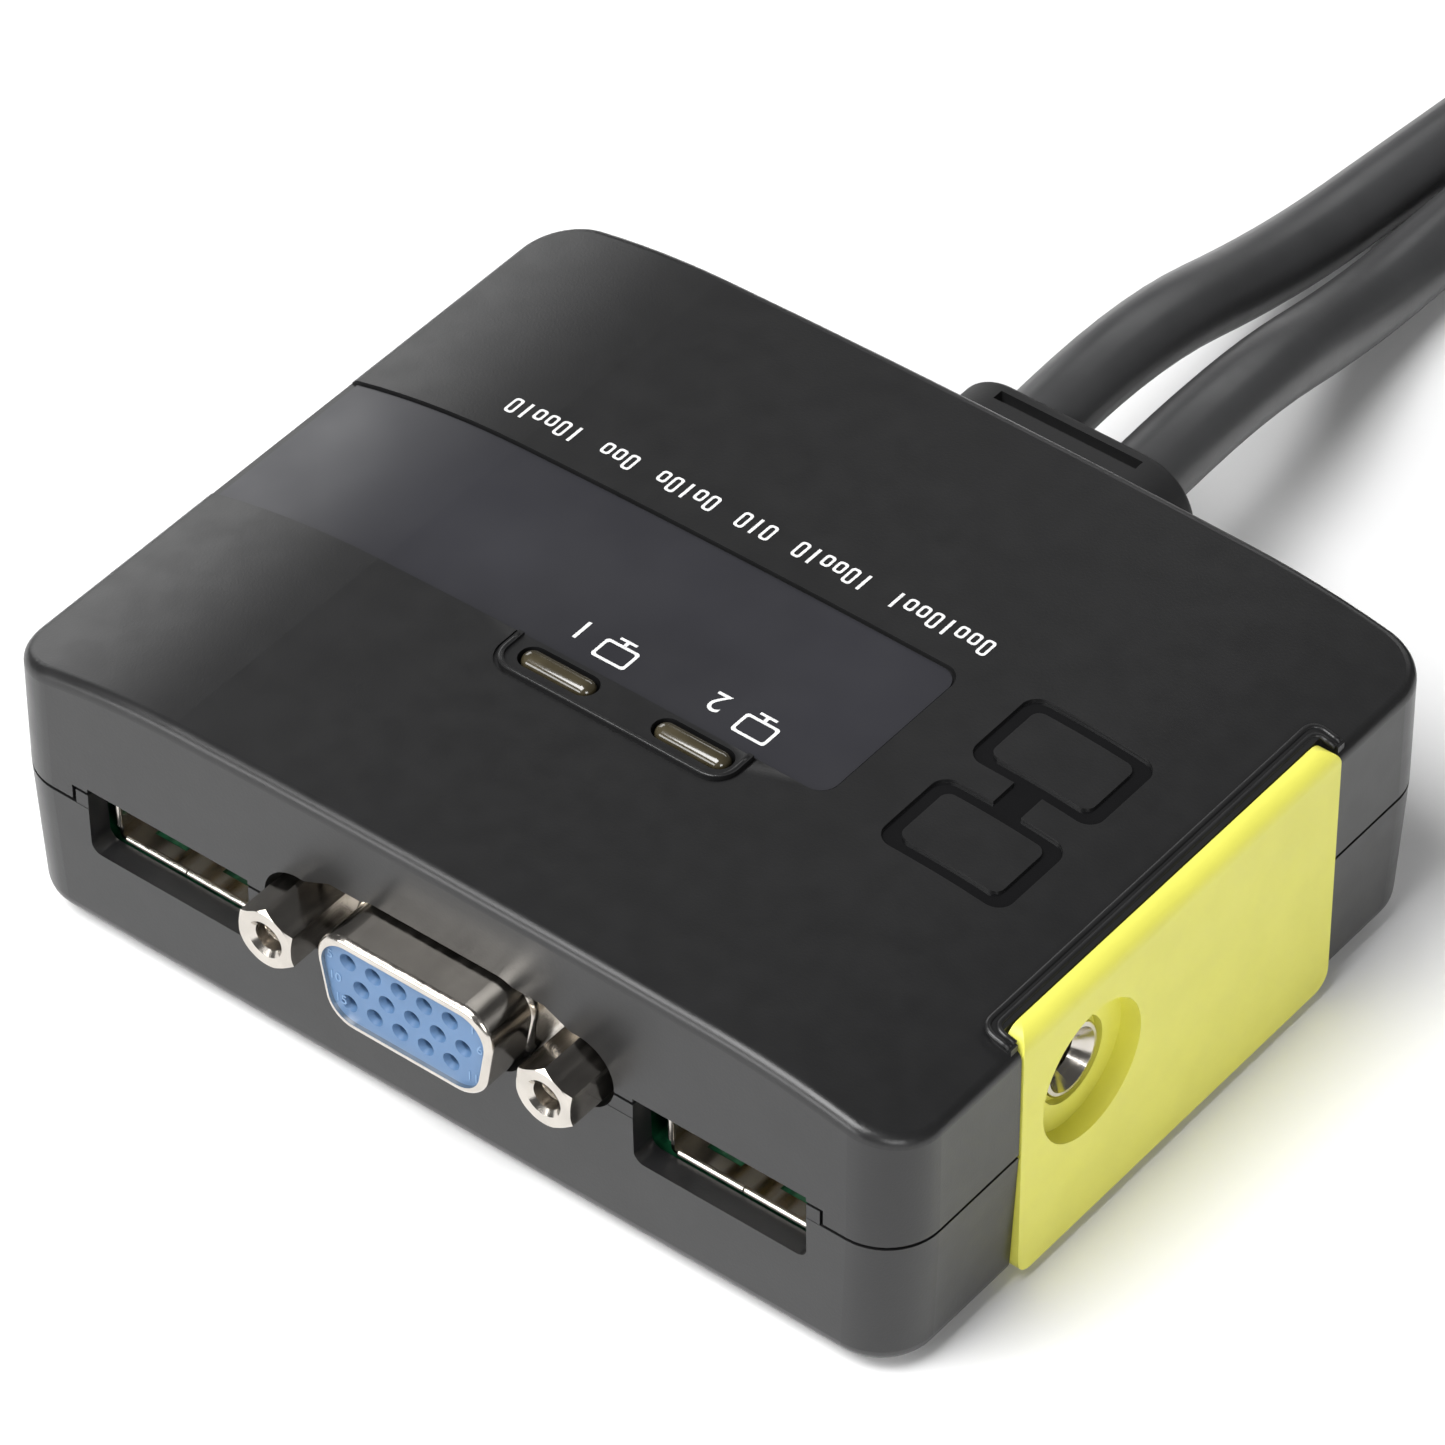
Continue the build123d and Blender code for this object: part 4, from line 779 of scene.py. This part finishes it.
def make_usb_lips(material):
    """The flared lips of the USB shells: a long lower tab split in the middle, and one at each side."""
    for number, middle in enumerate((USB_X, -USB_X), 1):
        def build(shape, middle=middle):
            for side in (-1, 1):
                lower = [(middle + side * x, USB_LIP_Y, USB_LIP_Z) for x in USB_LIP_SPAN]
                add_tube(shape, lower, USB_LIP_RADIUS, 16)
                side_x = middle + side * USB_LIP_SIDE_X
                upright = [(side_x, USB_LIP_Y - lean, z) for lean, z in USB_LIP_SIDE_ENDS]
                add_tube(shape, upright, USB_LIP_RADIUS, 16)
            bmesh.ops.recalc_face_normals(shape, faces=shape.faces)
        lips = mesh_piece(f"usb_{number}_lips", build, material)
        lips.data.shade_smooth()
        edges = lips.modifiers.new("crisp_edges", "EDGE_SPLIT")
        edges.split_angle = math.radians(50)


# --- stage ------------------------------------------------------------------------------------------------


def make_camera():
    data = bpy.data.cameras.new("camera")
    data.lens = CAMERA_LENS
    data.sensor_width = 36.0
    data.clip_start = 0.01
    data.clip_end = 20.0
    camera = link(bpy.data.objects.new("camera", data))
    level = math.cos(CAMERA_ELEVATION)
    back = Vector((
        math.sin(CAMERA_AZIMUTH) * level,
        -math.cos(CAMERA_AZIMUTH) * level,
        math.sin(CAMERA_ELEVATION),
    ))
    turned = (-back).to_track_quat("-Z", "Y").to_matrix() @ Matrix.Rotation(CAMERA_ROLL, 3, "Z")
    camera.matrix_world = Matrix.Translation(CAMERA_TARGET + back * CAMERA_DISTANCE) @ turned.to_4x4()
    bpy.context.scene.camera = camera


def make_floor():
    """A plain pale floor, level with the feet."""
    bpy.ops.mesh.primitive_plane_add(size=8.0)
    floor = bpy.context.active_object
    floor.name = "floor"
    material, nodes, links, shader = new_material("floor_paper")
    tint = ramp_between(nodes, links, object_noise(nodes, links, 4.0), grey(0.90), grey(0.92))
    links.new(tint.outputs["Color"], shader.inputs["Base Color"])
    shader.inputs["Roughness"].default_value = 0.9
    shader.inputs["Specular IOR Level"].default_value = 0.1
    floor.data.materials.append(material)


def add_light(name, place, target, size, power):
    """A rectangular soft light, aimed at a point."""
    data = bpy.data.lights.new(name, "AREA")
    data.shape = "RECTANGLE"
    data.size, data.size_y = size
    data.energy = power
    light = link(bpy.data.objects.new(name, data))
    light.location = place
    light.rotation_euler = (Vector(target) - Vector(place)).to_track_quat("-Z", "Y").to_euler()


def make_lights():
    """A key box high in front, a low box behind on the left, and weak rims to the right and left."""
    for row in LIGHTS:
        add_light(*row)
    world = bpy.data.worlds.new("studio")
    world.use_nodes = True
    world.node_tree.nodes["Background"].inputs["Color"].default_value = (1, 1, 1, 1)
    world.node_tree.nodes["Background"].inputs["Strength"].default_value = WORLD_STRENGTH
    bpy.context.scene.world = world
    bpy.context.scene.view_settings.view_transform = "Standard"


def main():
    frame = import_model()
    materials = make_materials()
    make_camera()
    paint_cad_nodes(frame, materials)
    cables = make_cables(materials)
    leads = make_leads(materials)
    declare_cords(frame, cables, leads)
    finishes = make_finish_materials()
    make_emblem(finishes["gloss_black"])
    make_letter_line(finishes["white_ink"])
    make_port_marks(finishes["white_ink"])
    make_jackscrew_threads(materials["nickel"])
    make_usb_lips(materials["nickel"])
    make_moulded_lines(materials["case_plastic"])
    make_light_pipes(materials["smoked_lens"])
    make_contact_numbers(finishes["blue_relief"])
    make_floor()
    make_lights()


main()
